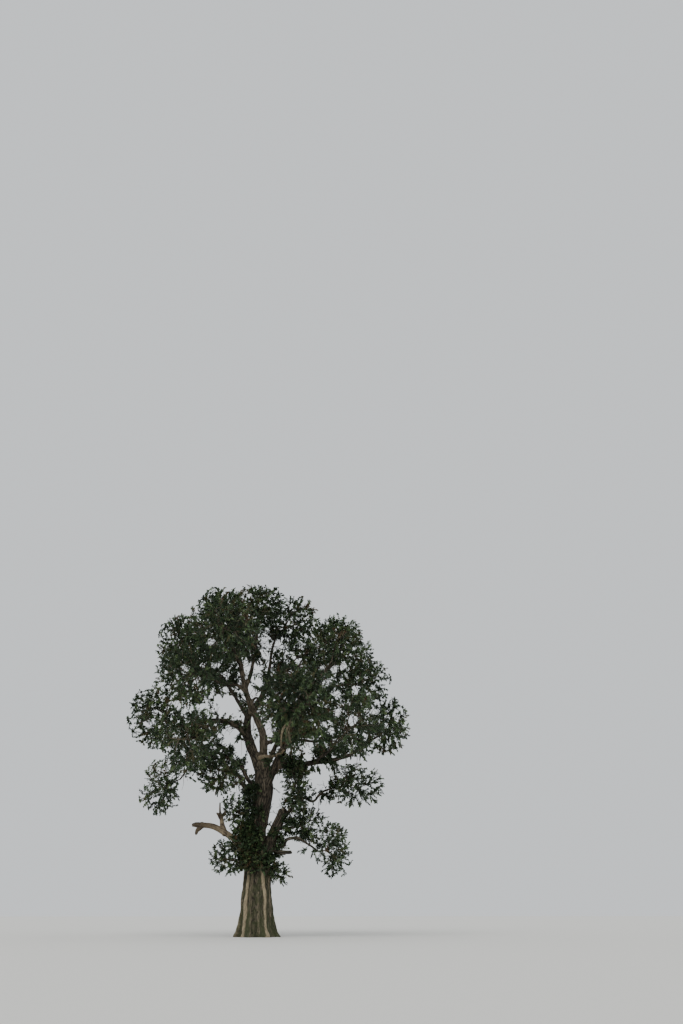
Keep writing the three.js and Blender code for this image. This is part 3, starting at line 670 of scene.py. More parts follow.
@dataclass(frozen=True)
class Bark:
    """Living fig bark: thin, grey-brown and fissured, with moss where it stays damp.

    Attributes:
        name: The material's name.
        groove: The colour down in its fissures.
        plate: The colour of most of it.
        ridge: The colour along its ridges.
        worn: The paler colour of its dry, high-lying patches.
        root: The colour of the aerial roots that have grown onto it.
        moss: The colour of its moss.
        moss_top: The height up to which moss is common, in metres.
        mossy: How common it is on the ground and above that height.
        fissure: How far apart the fissures lie round a limb, in metres. Real ones are
            finer, but would not show from where the whole tree is seen.
        relief: How deep the fissures look, in metres.
    """

    name: str = "fig bark, weathered and mossy"
    groove: int = 0x231F19
    plate: int = 0x4B4439
    ridge: int = 0x62594B
    worn: int = 0x6E6556
    root: int = 0x9E9075
    moss: int = 0x3F452A
    moss_top: float = 9.0
    mossy: Span = (0.42, 0.12)
    fissure: float = 0.12
    relief: float = 0.03

    def build(self) -> bpy.types.Material:
        """Builds the material on the skin's own attributes and object coordinates."""
        finer, fine_depth, flatten = 4, 0.9, 0.6
        upper_sides, on_roots = 0.18, -0.25
        work = Shading(self.name, {"Roughness": 0.92, "IOR": 1.4})
        flow = work.attribute("flow", "Vector")
        place = work.place()

        # Fissures run along each limb, and join and part: wide ones, and fine ones between
        wide = work.grain(flow, 1 / self.fissure, detail=3, rough=0.55, warp=0.4)
        fine = work.grain(flow, finer / self.fissure, detail=4, rough=0.6)
        lines = work.ramp(wide, (0.4, 1), (0.47, 0.1), (0.5, 0), (0.53, 0.1), (0.6, 1))
        height = work.compute("MULTIPLY_ADD", fine, fine_depth, lines)

        # Grey-brown plates, paler where they are dry and worn
        tone = work.compute("MULTIPLY", height, flatten)
        body = work.toned(tone, (0.3, linear(self.groove)), (0.62, linear(self.plate)),
                          (0.95, linear(self.ridge)))
        dry = work.grain(place, scale=1.3, detail=5, rough=0.6)
        patches = work.ramp(dry, (0.52, 0), (0.72, 0.9))
        worn = work.over(work.compute("MULTIPLY", patches, lines), body, self.worn)

        # The aerial roots are smoother and paler than the bark round them
        pale = work.attribute("pale", "Fac")
        smooth = work.ramp(wide, (0.44, 0.9), (0.5, 0.5), (0.56, 0.9))
        rooted = work.over(work.compute("MULTIPLY", pale, smooth), worn, self.root)

        # Moss is common low down and on the upper side of what slopes, but not on the roots
        low = work.between(work.axis(place, "Z"), (0, self.moss_top), self.mossy, "SMOOTHSTEP")
        normal = add_node(work.tree, "ShaderNodeNewGeometry").outputs["Normal"]
        damp = work.compute("MULTIPLY_ADD", work.axis(normal, "Z"), upper_sides, low)
        clumps = work.compute("ADD", work.grain(place, scale=2.1, detail=7, rough=0.7), damp)
        kept = work.compute("MULTIPLY_ADD", pale, on_roots, clumps)
        mossy = work.over(work.ramp(kept, (0.76, 0), (0.98, 0.8)), rooted, self.moss)
        return work.finished(mossy, height, strength=0.9, depth=self.relief)


@dataclass(frozen=True)
class BareWood:
    """Dead fig wood that has lost its bark: bleached, dry and split along its grain.

    Attributes:
        name: The material's name.
        split: The colour down in its splits.
        face: The colour of most of it.
        bleached: The colour where the sun has bleached it.
        end_darkening: The grey that darkens its colours towards the dead bough's ends.
        grain: The width of its grain's streaks, in metres, drawn as coarse as it takes
            to show.
        squeeze: How much slower than round the limb its pattern runs along the flow.
        relief: How deep the splits look, in metres.
        fresh: The place on the dead bough where it is the palest.
        darkening_reach: How far from it the bough starts to get darker, and where it is darkest.
        darkening_side: Nothing to the right of this x is darkened.
    """

    name: str = "dead fig wood, bleached and split"
    split: int = 0x3E3226
    face: int = 0x655846
    bleached: int = 0x94856B
    end_darkening: int = 0xA9A39B
    grain: float = 0.05
    squeeze: float = 0.4
    relief: float = 0.02
    fresh: Point = (-2.2, -0.9, 6.1)
    darkening_reach: Span = (0.4, 1.4)
    darkening_side: float = -1.4

    def build(self) -> bpy.types.Material:
        """Builds the material on the skin's own flow attribute and object coordinates."""
        work = Shading(self.name, {"Roughness": 0.85})
        flow = add_node(
            work.tree, "ShaderNodeVectorMath", {"operation": "MULTIPLY"},
            {0: work.attribute("flow", "Vector"), 1: (1, 1, self.squeeze)},
        )
        streaks = work.grain(flow.outputs["Vector"], 1 / self.grain, detail=5, rough=0.65)
        place = work.place()
        body = work.toned(streaks, (0.4, linear(self.split)), (0.5, linear(self.face)),
                          (0.68, linear(self.bleached)))
        patches = work.ramp(work.grain(place, scale=2, detail=3), (0.42, 0), (0.62, 0.8))
        colour = work.over(patches, body, self.bleached)

        # The dead bough is darker towards its ends, where its colours are multiplied by a grey
        away = add_node(
            work.tree, "ShaderNodeVectorMath", {"operation": "DISTANCE"}, {0: place, 1: self.fresh})
        darkening_share = work.between(away.outputs["Value"], self.darkening_reach)
        on_bough = work.compute("LESS_THAN", work.axis(place, "X"), self.darkening_side)
        share = work.compute("MULTIPLY", darkening_share, on_bough)
        colour = work.over(share, colour, self.end_darkening, "MULTIPLY")
        return work.finished(colour, streaks, strength=0.8, depth=self.relief)


@dataclass(frozen=True)
class TwigBark:
    """The smooth bark of young fig twigs, grey to brown with small pale marks.

    Attributes:
        name: The material's name.
        dark: Its darker colour.
        light: Its lighter colour.
        mark: The size of its marks, in metres.
    """

    name: str = "young fig bark, smooth"
    dark: int = 0x3A3328
    light: int = 0x6A604C
    mark: float = 0.25

    def build(self) -> bpy.types.Material:
        """Builds the material on object coordinates."""
        work = Shading(self.name, {"Roughness": 0.8})
        marks = work.grain(work.place(), 1 / self.mark, detail=4)
        body = work.toned(marks, (0.4, linear(self.dark)), (0.65, linear(self.light)))
        work.tree.links.new(body, work.shader.inputs["Base Color"])
        return work.material


@dataclass(frozen=True)
class LeafBlade:
    """A fig leaf's blade: thick, leathery and slightly glossy, in one plain colour.

    Attributes:
        name: The material's name.
        colour: Its colour.
        share: How many of the sprays have it, as a share of all.
    """

    name: str
    colour: int
    share: float

    def build(self) -> bpy.types.Material:
        """Builds the material, which has no pattern because a leaf is a few dots wide."""
        values = {"Base Color": linear(self.colour), "Roughness": 0.5, "IOR": 1.45,
                  "Specular IOR Level": 0.3}
        return Shading(self.name, values).material


LEAF_BLADES = (
    LeafBlade("fig leaf, deep green", 0x2A3727, 0.24),
    LeafBlade("fig leaf, dark green", 0x364730, 0.32),
    LeafBlade("fig leaf, green", 0x475A3B, 0.24),
    LeafBlade("fig leaf, fresh green", 0x5F7049, 0.1),
    LeafBlade("fig leaf, olive", 0x504F35, 0.08),
    LeafBlade("fig leaf, turning brown", 0x574733, 0.02),
)


@dataclass(frozen=True)
class Trunk:
    """The trunk, from the flat cut at ground level to its fork.

    Attributes:
        axis: The points that its middle passes through.
        taper: Its radius at each height.
        root_lobes: How many lobes its roots make at the foot.
        lobe_swell: How far the lobes swell, as a share of the radius.
        lobe_height: How fast they die away upwards.
        sides: The points round each ring of its shape.
        ring_step: The height from one ring to the next.
        below: How far its shape goes on below the cut, before it is cut.
    """

    axis: tuple[Point, ...] = (
        (0, 0, 0), (-0.1, 0, 3.6), (-0.19, 0, 6), (0.05, 0, 8), (0.15, 0, 9.3), (0.02, 0, 11))
    taper: tuple[Span, ...] = (
        (0, 1.23), (0.25, 1.13), (0.7, 1.03), (1.4, 0.95), (2.4, 0.88), (3.6, 0.83),
        (4.8, 0.72), (6, 0.57), (6.9, 0.59), (8, 0.64), (8.8, 0.65), (9.5, 0.62), (10.1, 0.57),
        (10.7, 0.45), (11, 0.26))
    root_lobes: int = 6
    lobe_swell: float = 0.2
    lobe_height: float = 1.5
    sides: int = 64
    ring_step: float = 0.12
    below: float = 0.3

    def path(self) -> Path:
        """Gives the trunk's middle line."""
        return Path(self.axis)

    def centre(self, heights: np.ndarray) -> np.ndarray:
        """Gives the trunk's middle at heights, one point for each."""
        spots = self.path().spots
        return np.stack([np.interp(heights, spots[:, 2], spots[:, 0]),
                         np.interp(heights, spots[:, 2], spots[:, 1]), heights], axis=-1)

    def size(self, heights: np.ndarray) -> np.ndarray:
        """Gives the trunk's radius at heights, without its lobes."""
        return np.interp(heights, *np.array(self.taper).T)

    def radius(self, heights: np.ndarray, turns: np.ndarray | float) -> np.ndarray:
        """Gives the trunk's radius at heights and at angles round it."""
        swell = self.lobe_swell * np.exp(-np.maximum(heights, 0) / self.lobe_height)
        return self.size(heights) * (1 + swell * np.cos(self.root_lobes * turns))

    def shape(self) -> Shape:
        """Makes the trunk's shape in level rings."""
        top = self.taper[-1][0]
        heights = np.linspace(-self.below, top, round((top + self.below) / self.ring_step))
        turns = np.linspace(0, 2 * math.pi, self.sides, endpoint=False)
        sizes = self.radius(heights[:, None], turns[None, :])
        around = np.stack([np.cos(turns), np.sin(turns), np.zeros(self.sides)], axis=-1)
        loops = self.centre(heights)[:, None, :] + sizes[..., None] * around[None]
        return rings(loops)


@dataclass(frozen=True)
class Branching:
    """The limbs of the tree, and the broken stub across its fork.

    Attributes:
        trunk: The trunk that bears them.
        limbs: The limbs, each after the one that bears it.
        stub: The dead stub that lies across the fork.
        crook: The small looped branch in the middle of the crown.
        broken: The living limbs that are broken off short.
        torn_swell: How much thicker a dead limb is at its torn end.
        splinters_each: How many splinters stand out of that end.
        dead_sunk: How deep in the trunk the shape of a dead limb starts, in metres.
        clung_roots: The bearing in degrees, top and radii of each aerial root that has
            grown down the trunk to the ground.
        root_nodes: How many of those, from the first on, are nodes of their own.
        root_stand_out: How far they stand out of the trunk, as a share of their radius.
        root_drift: How far they wander round it, in radians.
        root_drift_length: The height of each such drift, in metres.
        sway: How far a limb strays from its smooth line, in metres.
        sway_length: The length of each stray.
        collar: How much thicker a limb is where it leaves another.
        uneven: How much its thickness varies, as a share.
        ring_step: The length from one ring to the next.
        fewest_rings: The fewest rings that a limb has.
        sides: The points round each ring.
    """

    trunk: Trunk = Trunk()
    limbs: tuple[Limb, ...] = LIMBS
    stub: Spur = Spur(
        (0.15, 0.07),
        ((-0.25, -0.1, 10.85), (0.1, -0.5, 10.95), (0.6, -0.95, 10.95), (1.15, -1.5, 10.98),
         (1.4, -1.9, 11.2)))
    crook: Spur = Spur(
        (0.1, 0.06),
        ((-0.92, -0.2, 13.9), (-0.82, -0.5, 14.5), (-0.56, -0.6, 14.85), (-0.24, -0.6, 14.7),
         (-0.22, -0.55, 14.3), (-0.5, -0.5, 14.1)))
    broken: tuple[str, ...] = ("right_stem",)
    torn_swell: float = 1.25
    splinters_each: int = 7
    dead_sunk: float = 0.15
    clung_roots: tuple[tuple[float, float, Span], ...] = (
        (-135, 3.8, (0.13, 0.07)), (-62, 5.1, (0.11, 0.06)), (-112, 7.4, (0.09, 0.05)),
        (-30, 7.5, (0.08, 0.04)), (-170, 5.6, (0.09, 0.04)), (60, 6.8, (0.09, 0.05)),
        (130, 5.2, (0.1, 0.05)), (-84, 2.6, (0.07, 0.04)), (20, 4.4, (0.09, 0.05)))
    root_nodes: int = 2
    root_stand_out: float = 0.45
    root_drift: float = 0.12
    root_drift_length: float = 1.5
    sway: float = 0.07
    sway_length: float = 1.6
    collar: float = 0.3
    uneven: float = 0.1
    ring_step: float = 0.12
    fewest_rings: int = 6
    sides: int = 16

    def radius(self, name: str, shares: float | np.ndarray) -> float | np.ndarray:
        """Gives a limb's radius at shares of the way along it."""
        if name == "trunk":
            return self.trunk.size(self.trunk.path().at(shares)[..., 2])
        radii = next(limb.radii for limb in self.limbs if limb.name == name)
        return np.interp(shares, (0, 1), radii)

    def paths(self) -> dict[str, Path]:
        """Gives every limb's smooth line by name, the trunk's among them."""
        found = {"trunk": self.trunk.path()}
        for limb in self.limbs:
            start = found[limb.on].at(limb.at)
            found[limb.name] = Path([start, *limb.through])
        return found

    def strayed(self, path: Path, radii: Span, number: int) -> tuple[np.ndarray, np.ndarray]:
        """Makes a limb's line crooked, as a grown one is.

        Args:
            path: Its smooth line.
            radii: Its radius at each end.
            number: The number that sets its own strays.

        Returns:
            The middles of its rings and their radii.
        """
        # All read one noise, each limb in a row of its own, and its three strays far apart
        apart, rising, thickening = 3.1, 50, 90
        count = max(self.fewest_rings, round(path.length / self.ring_step))
        shares = np.linspace(0, 1, count)
        middles = path.at(shares)
        level, rise = framed(path.way(shares))
        along = shares * path.length
        lead = np.stack(
            [along / self.sway_length, np.full(count, number * apart), np.zeros(count)], axis=-1)
        free = np.sin(math.pi * shares)[:, None] ** 0.5 * self.sway
        middles = middles + level * free * grain_at(lead, 1.0)[:, None]
        middles = middles + rise * free * grain_at(lead + rising, 1.0)[:, None]
        thickness = np.interp(shares, (0, 1), radii)
        collar = 1 + self.collar * np.exp(-((along - radii[0]) / (2 * radii[0])) ** 2)
        lumps = 1 + self.uneven * grain_at(lead * 2 + thickening, 1.0)
        return middles, thickness * collar * lumps

    def living(self) -> list[Shape]:
        """Makes the shapes of the trunk and of all that has bark."""
        paths = self.paths()
        shapes = [self.trunk.shape()]
        for number, limb in enumerate(self.limbs):
            if limb.wood is Wood.DEAD:
                continue
            middles, sizes = self.strayed(paths[limb.name], limb.radii, number)
            shapes.append(tube(middles, sizes, self.sides, torn=limb.name in self.broken))
            shapes.extend(self.spur_shape(spur, number) for spur in limb.spurs)
        shapes.append(self.spur_shape(self.crook, 0))
        for root in self.clung_roots:
            _, middles, sizes = self.clung_root(*root)
            shapes.append(tube(middles, sizes, self.sides))
        return shapes

    def dead(self) -> list[Shape]:
        """Makes the shapes of what is dead, with a ragged end on each broken piece."""
        paths = self.paths()
        shapes = [self.spur_shape(self.stub, 0)]
        for number, limb in enumerate(self.limbs):
            if limb.wood is Wood.LIVING:
                continue
            middles, sizes = self.strayed(paths[limb.name], limb.radii, number)
            heights = middles[:, 2]
            outside = np.linalg.norm((middles - self.trunk.centre(heights))[:, :2], axis=1)
            kept = outside > self.trunk.size(heights) - self.dead_sunk
            sizes = sizes * np.linspace(1, self.torn_swell, len(sizes))
            shapes.append(tube(middles[kept], sizes[kept], self.sides, torn=True))
            shapes.extend(self.spur_shape(spur, number) for spur in limb.spurs)
            shapes.extend(self.splinters(middles[-1], unit(middles[-1] - middles[-2]), sizes[-1]))
        return shapes

    def spur_shape(self, spur: Spur, number: int) -> Shape:
        """Makes the shape of one spur."""
        own_strays = 40
        middles, sizes = self.strayed(Path(spur.through), spur.radii, number + own_strays)
        return tube(middles, sizes, self.sides, torn=True)

    def splinters(self, end: np.ndarray, way: np.ndarray, radius: float) -> list[Shape]:
        """Makes the splinters that stand out of a torn end.

        Args:
            end: The middle of the end.
            way: The way that the limb points there.
            radius: Its radius there.

        Returns:
            One thin spike for each splinter.
        """
        outward, lengths, splay = (0.2, 0.75), (0.08, 0.3), 1.4
        thick, thin, steps, sides = 0.055, 0.022, 6, 8
        draw = np.random.default_rng(SEED)
        level, rise = framed(way)
        found = []
        for _ in range(self.splinters_each):
            turn, out = draw.uniform(0, 2 * math.pi), radius * draw.uniform(*outward)
            aside = level * math.cos(turn) + rise * math.sin(turn)
            start = end + aside * out - way * radius
            tip = end + aside * out * splay + way * draw.uniform(*lengths)
            shares = np.linspace(0, 1, steps)[:, None]
            sizes = np.linspace(thick, thin, steps)
            found.append(tube(start + (tip - start) * shares, sizes, sides))
        return found

    def clung_root(
        self, bearing: float, top: float, radii: Span
    ) -> tuple[np.ndarray, np.ndarray, np.ndarray]:
        """Lays out one aerial root that has grown onto the trunk.

        Args:
            bearing: Which side of the trunk it is on, in degrees.
            top: The height that it comes from.
            radii: Its radius at the ground and at its top.

        Returns:
            The heights of its rings, their middles and their radii.
        """
        heights = np.linspace(-self.trunk.below, top, round(top / self.ring_step))
        lead = np.stack([heights, heights * 0 + bearing, heights * 0], axis=-1)
        turns = math.radians(bearing) + self.root_drift * grain_at(lead, self.root_drift_length)
        outward = np.stack([np.cos(turns), np.sin(turns), np.zeros(len(turns))], axis=-1)
        sizes = np.interp(heights, (0, top), radii)
        middles = self.trunk.centre(heights)
        out = self.trunk.radius(heights, turns) + sizes * self.root_stand_out
        return heights, middles + outward * out[:, None], sizes


def projected(
    spots: np.ndarray, starts: np.ndarray, steps: np.ndarray
) -> tuple[np.ndarray, np.ndarray]:
    """Finds the nearest place to each point on each of many straight lines.

    Args:
        spots: The points.
        starts: Where each line starts.
        steps: The vector from there to its end.

    Returns:
        For each point and line, the share of the way along, and the vector from that
        place to the point.
    """
    away = spots[:, None, :] - starts[None]
    shares = np.einsum("ijk,jk->ij", away, steps) / np.einsum("ij,ij->i", steps, steps)
    shares = np.clip(shares, 0, 1)
    return shares, away - shares[..., None] * steps[None]


@dataclass(frozen=True)
class Relief:
    """The relief of a skin of wood, laid out along and round the limbs it covers.

    Attributes:
        flute: How deep the long hollows are, as a share of the radius.
        flute_width: How wide each of them is, in metres.
        lump: The height of its lumps, in metres.
        lump_size: How far apart the lumps lie round a limb, in metres.
        lump_pace: How fast they follow each other along it, where 1 is as fast as round it.
        ridge: The height of the finest ridges, in metres.
        ridge_size: How far apart they lie round a limb, in metres.
        stretch: How many times longer than wide a hollow or a ridge is.
        stout: The radius from which on lumps and ridges have their full height.
        least: The share of that height that they keep on the thinnest limb.
    """

    flute: float = 0.1
    flute_width: float = 0.45
    lump: float = 0.05
    lump_size: float = 0.5
    lump_pace: float = 0.6
    ridge: float = 0.02
    ridge_size: float = 0.1
    stretch: float = 5.0
    stout: float = 0.35
    least: float = 0.2

    def lay(self, mesh: bpy.types.Mesh, branching: Branching) -> None:
        """Moves a skin's points in and out, and stores the flow that its bark follows.

        Args:
            mesh: The skin.
            branching: The limbs under it.
        """
        spots = read_points(mesh, "co")
        along, around, radius = self.nearest(spots, branching)
        flow = np.stack([around[:, 0] * radius, around[:, 1] * radius, along / self.stretch], -1)
        rounder = flow * np.array([1, 1, self.stretch * self.lump_pace])
        flutes = grain_at(flow, self.flute_width, 1) * self.flute * radius
        lumps = grain_at(rounder, self.lump_size) * self.lump
        ridges = grain_at(flow, self.ridge_size) * self.ridge
        soft = np.clip(radius / self.stout, self.least, 1)
        shift = flutes + (lumps + ridges) * soft
        moved = spots + read_points(mesh, "normal") * shift[:, None]
        mesh.vertices.foreach_set("co", moved.ravel())
        store(mesh, "flow", "FLOAT_VECTOR", flow)
        store(mesh, "pale", "FLOAT", self.paleness(spots, branching))

    @staticmethod
    def paleness(spots: np.ndarray, branching: Branching) -> np.ndarray:
        """Says how pale the bark is: most on the aerial roots, a little on the leader.

        Args:
            spots: The points.
            branching: The limbs.

        Returns:
            A value from 0 to 1 for each point.
        """
        minor_roots, above, edge, fade = 0.3, 0.2, 1.5, 2.5
        leader_edge, leader_most, leader_steps = 1.4, 0.15, 60
        pale = np.zeros(len(spots))
        for number, (bearing, top, radii) in enumerate(branching.clung_roots):
            most = 1.0 if number < branching.root_nodes else minor_roots
            heights, middles, sizes = branching.clung_root(bearing, top, radii)
            near = np.flatnonzero((spots[:, 2] < top + above) & (spots[:, 2] >= heights[0]))
            place = np.stack([np.interp(spots[near, 2], heights, axis) for axis in middles.T], -1)
            gap = np.linalg.norm(spots[near] - place, axis=1)
            over = gap / np.interp(spots[near, 2], heights, sizes)
            pale[near] = np.maximum(pale[near], most * np.clip((edge - over) * fade, 0, 1))
        leader = branching.paths()["central_leader"].at(np.linspace(0, 1, leader_steps))
        near = np.flatnonzero(np.all((spots > leader.min(0) - 1) & (spots < leader.max(0) + 1), 1))
        gaps = np.linalg.norm(spots[near, None] - leader[None], axis=2).min(1)
        faint = np.clip(leader_edge - gaps * fade, 0, leader_most)
        pale[near] = np.maximum(pale[near], faint)
        return pale

    @staticmethod
    def nearest(
        spots: np.ndarray, branching: Branching
    ) -> tuple[np.ndarray, np.ndarray, np.ndarray]:
        """Finds the limb that each point lies on, and where on it.

        Args:
            spots: The points.
            branching: The limbs.

        Returns:
            How far along its limb each point is, its direction round it as a pair of
            numbers, and the limb's radius there.
        """
        reach, step, fewest = 1.5, 0.25, 8
        best = np.full(len(spots), np.inf)
        along = np.zeros(len(spots))
        around = np.zeros((len(spots), 2))
        radius = np.ones(len(spots))
        for name, path in branching.paths().items():
            count = max(fewest, round(path.length / step))
            middles = path.at(np.linspace(0, 1, count))
            low, high = middles.min(0) - reach, middles.max(0) + reach
            near = np.flatnonzero(np.all((spots > low) & (spots < high), axis=1))
            part, off = projected(spots[near], middles[:-1], np.diff(middles, axis=0))
            gaps = np.linalg.norm(off, axis=2)
            which = gaps.argmin(1)
            rows = np.arange(len(near))
            share = (which + part[rows, which]) / (count - 1)
            size = branching.radius(name, share)
            over = gaps[rows, which] / size
            won = over < best[near]
            rows, which, found = rows[won], which[won], near[won]
            best[found] = over[won]
            level, rise = framed(unit(middles[-1] - middles[0])[None])
            out = unit(off[rows, which])
            around[found] = np.stack([out @ level[0], out @ rise[0]], axis=-1)
            along[found] = share[won] * path.length
            radius[found] = size[won]
        return along, around, radius


def without_scraps(mesh: bpy.types.Mesh, least: int = 200) -> None:
    """Deletes the loose scraps that fusing and thinning leave behind.

    Args:
        mesh: The mesh.
        least: The fewest faces that a loose part may have.
    """
    work = bmesh.new()
    work.from_mesh(mesh)
    unseen = set(work.verts)
    scraps = []
    while unseen:
        island = [unseen.pop()]
        for vert in island:
            for edge in vert.link_edges:
                other = edge.other_vert(vert)
                if other in unseen:
                    unseen.remove(other)
                    island.append(other)
        if len({face for vert in island for face in vert.link_faces}) < least:
            scraps.extend(island)
    bmesh.ops.delete(work, geom=scraps, context="VERTS")
    work.to_mesh(mesh)
    work.free()


def cut_level(mesh: bpy.types.Mesh) -> None:
    """Cuts a skin off level at the ground and closes the cut."""
    work = bmesh.new()
    work.from_mesh(mesh)
    everything = [*work.verts, *work.edges, *work.faces]
    cut = bmesh.ops.bisect_plane(
        work, geom=everything, plane_co=(0, 0, 0), plane_no=(0, 0, -1), clear_outer=True)
    rim = [part for part in cut["geom_cut"] if isinstance(part, bmesh.types.BMEdge)]
    bmesh.ops.holes_fill(work, edges=rim)
    work.to_mesh(mesh)
    work.free()


@dataclass(frozen=True)
class Skin:
    """One skin over many shapes of wood.

    Attributes:
        name: The piece's name.
        voxel: The size of the cells that fuse the shapes, in metres.
        relief: The relief that it gets.
        softening: How many times it is smoothed.
        soften_by: How far each time, as a share of the way to smooth.
        kept: The share of its triangles that are kept once it has its relief.
    """

    name: str
    voxel: float
    relief: Relief
    softening: int = 3
    soften_by: float = 0.5
    kept: float = 1.0

    def build(
        self, shapes: Sequence[Shape], branching: Branching, material: bpy.types.Material, foot: bool
    ) -> bpy.types.Object:
        """Fuses shapes into one skin with its relief.

        Args:
            shapes: The shapes.
            branching: The limbs that they belong to.
            material: The skin's material.
            foot: Whether it is cut level at the ground.

        Returns:
            The piece.
        """
        piece = placed(self.name, mesh_from(self.name, shapes))
        fuse = piece.modifiers.new("fuse", "REMESH")
        fuse.mode = "VOXEL"
        fuse.voxel_size = self.voxel
        soften = piece.modifiers.new("soften", "SMOOTH")
        soften.factor = self.soften_by
        soften.iterations = self.softening
        applied(piece)
        self.relief.lay(piece.data, branching)
        if self.kept < 1:
            piece.modifiers.new("thin", "DECIMATE").ratio = self.kept
            applied(piece)
        without_scraps(piece.data)
        if foot:
            cut_level(piece.data)
        piece.data.shade_smooth()
        piece.data.materials.clear()
        piece.data.materials.append(material)
        return piece


@dataclass(frozen=True)
class GrowthRule:
    """How the twigs of a mass grow. The first ones are those of its solid.

    Attributes:
        heart: The middle of the crown, which the first twig of a mass grows away from.
        fewest: The fewest twigs that a solid has.
        most: The most that it has.
        tries: How many places are tried for each of them.
        leaf_share: The length of a solid's leaf, as a share of its mass's size.
        tip_spacing: The least distance between the solid's twig ends, in such leaves.
        inner_reach: How far out its twig ends start, as a share of the mass.
        outer_reach: How far out they stop.
        fine_inner_reach: The same start for the finer twigs.
        fine_tries: How many places are tried for each of them.
        fine_least: How short one may be, in metres.
        fine_spacing: The least distance between the ends of finer twigs, in metres.
        fine_per_metre3: How many of them a cubic metre of the thickest mass has.
        fine_power: How full the corners of their space are, where 2 is an ellipsoid.
        bare_every: One in so many of them may end in a gap of sky, where it is bare.
        clump: The size of the clumps that they gather in, in metres.
        thinned: The share of their places that a mass of no fullness would leave out.
        filled: How much less of them the fullest mass leaves out.
        stride: How far apart in the sequence two masses start.
        plastic: The ratio that spreads the sequence evenly in space.
        hub_share: How far a stem runs in from its limb's tip, as a share of the way to
            the middle of its mass.
        side_hub_share: The same from the side of a limb.
        turn_cost: How much a sharp turn counts against a place to leave from.
        path_cost: How much the way back to the stem counts.
        bend_share: Where a twig bends.
        arch: How far it rises there, as a share of its length.
        clearance: The least distance from a twig to a limb, in metres.
    """

    heart: Point = (0, 0, 14)
    fewest: int = 3
    most: int = 6
    tries: int = 16
    leaf_share: float = 0.75
    tip_spacing: float = 0.9
    inner_reach: float = 0.6
    outer_reach: float = 0.98
    fine_inner_reach: float = 0.1
    fine_tries: int = 3
    fine_least: float = 0.15
    fine_spacing: float = 0.25
    fine_per_metre3: float = 11.0
    fine_power: float = 2.3
    bare_every: int = 3
    clump: float = 1.1
    thinned: float = 0.75
    filled: float = 0.5
    stride: int = 7
    plastic: float = 1.2207440846057596
    hub_share: float = 0.5
    side_hub_share: float = 0.8
    turn_cost: float = 0.6
    path_cost: float = 0.25
    bend_share: float = 0.35
    arch: float = 0.07
    clearance: float = 0.03


@dataclass(frozen=True)
class Twigs:
    """The twigs of one mass, one in each row.

    Attributes:
        starts: Where each leaves the one before.
        bends: Where it bends.
        ends: Where it ends.
        tips: How many twig ends hang on it.
    """

    starts: np.ndarray
    bends: np.ndarray
    ends: np.ndarray
    tips: np.ndarray


def in_sky(spots: np.ndarray) -> np.ndarray:
    """Says which points lie in a gap of sky, seen from the front.

    Args:
        spots: The points.

    Returns:
        True for each that does, with a ragged edge to each gap.
    """
    ragged, notch, notch_depth, narrowed = 0.75, 0.36, 0.25, 0.15
    share = -VIEWPOINT[1] / (spots[:, 1] - VIEWPOINT[1])
    x = VIEWPOINT[0] + (spots[:, 0] - VIEWPOINT[0]) * share
    z = VIEWPOINT[2] + (spots[:, 2] - VIEWPOINT[2]) * share
    depth = np.full(len(spots), np.inf)
    for gap in SKY_GAPS:
        depth = np.minimum(depth, np.hypot((x - gap.x) / gap.wide, (z - gap.z) / gap.high))
    near = np.flatnonzero(depth < 1 + ragged)
    seen = np.stack([x[near], z[near], spots[near, 1] * notch_depth], axis=-1)
    found = np.zeros(len(spots), dtype=bool)
    found[near] = depth[near] + ragged * grain_at(seen, notch) + narrowed < 1
    return found


class Obstacles:
    """The spans of wood that twigs and leaves keep clear of."""

    SPAN = 0.6
    FEWEST = 3

    def __init__(self, branching: Branching) -> None:
        """Gathers the spans of the trunk and of every limb.

        Args:
            branching: The limbs.
        """
        starts, steps, sizes = [], [], []
        for name, path in branching.paths().items():
            count = max(self.FEWEST, round(path.length / self.SPAN))
            shares = np.linspace(0, 1, count + 1)
            middles = path.at(shares)
            radii = branching.radius(name, shares)
            starts.append(middles[:-1])
            steps.append(np.diff(middles, axis=0))
            sizes.append(np.maximum(radii[:-1], radii[1:]))
        self.starts = np.vstack(starts)
        self.steps = np.vstack(steps)
        self.sizes = np.concatenate(sizes)

    def room(self, spots: np.ndarray) -> np.ndarray:
        """Measures the distance from points to the nearest wood, less than 0 inside it."""
        gaps = np.linalg.norm(projected(spots, self.starts, self.steps)[1], axis=2)
        return (gaps - self.sizes[None]).min(axis=1)


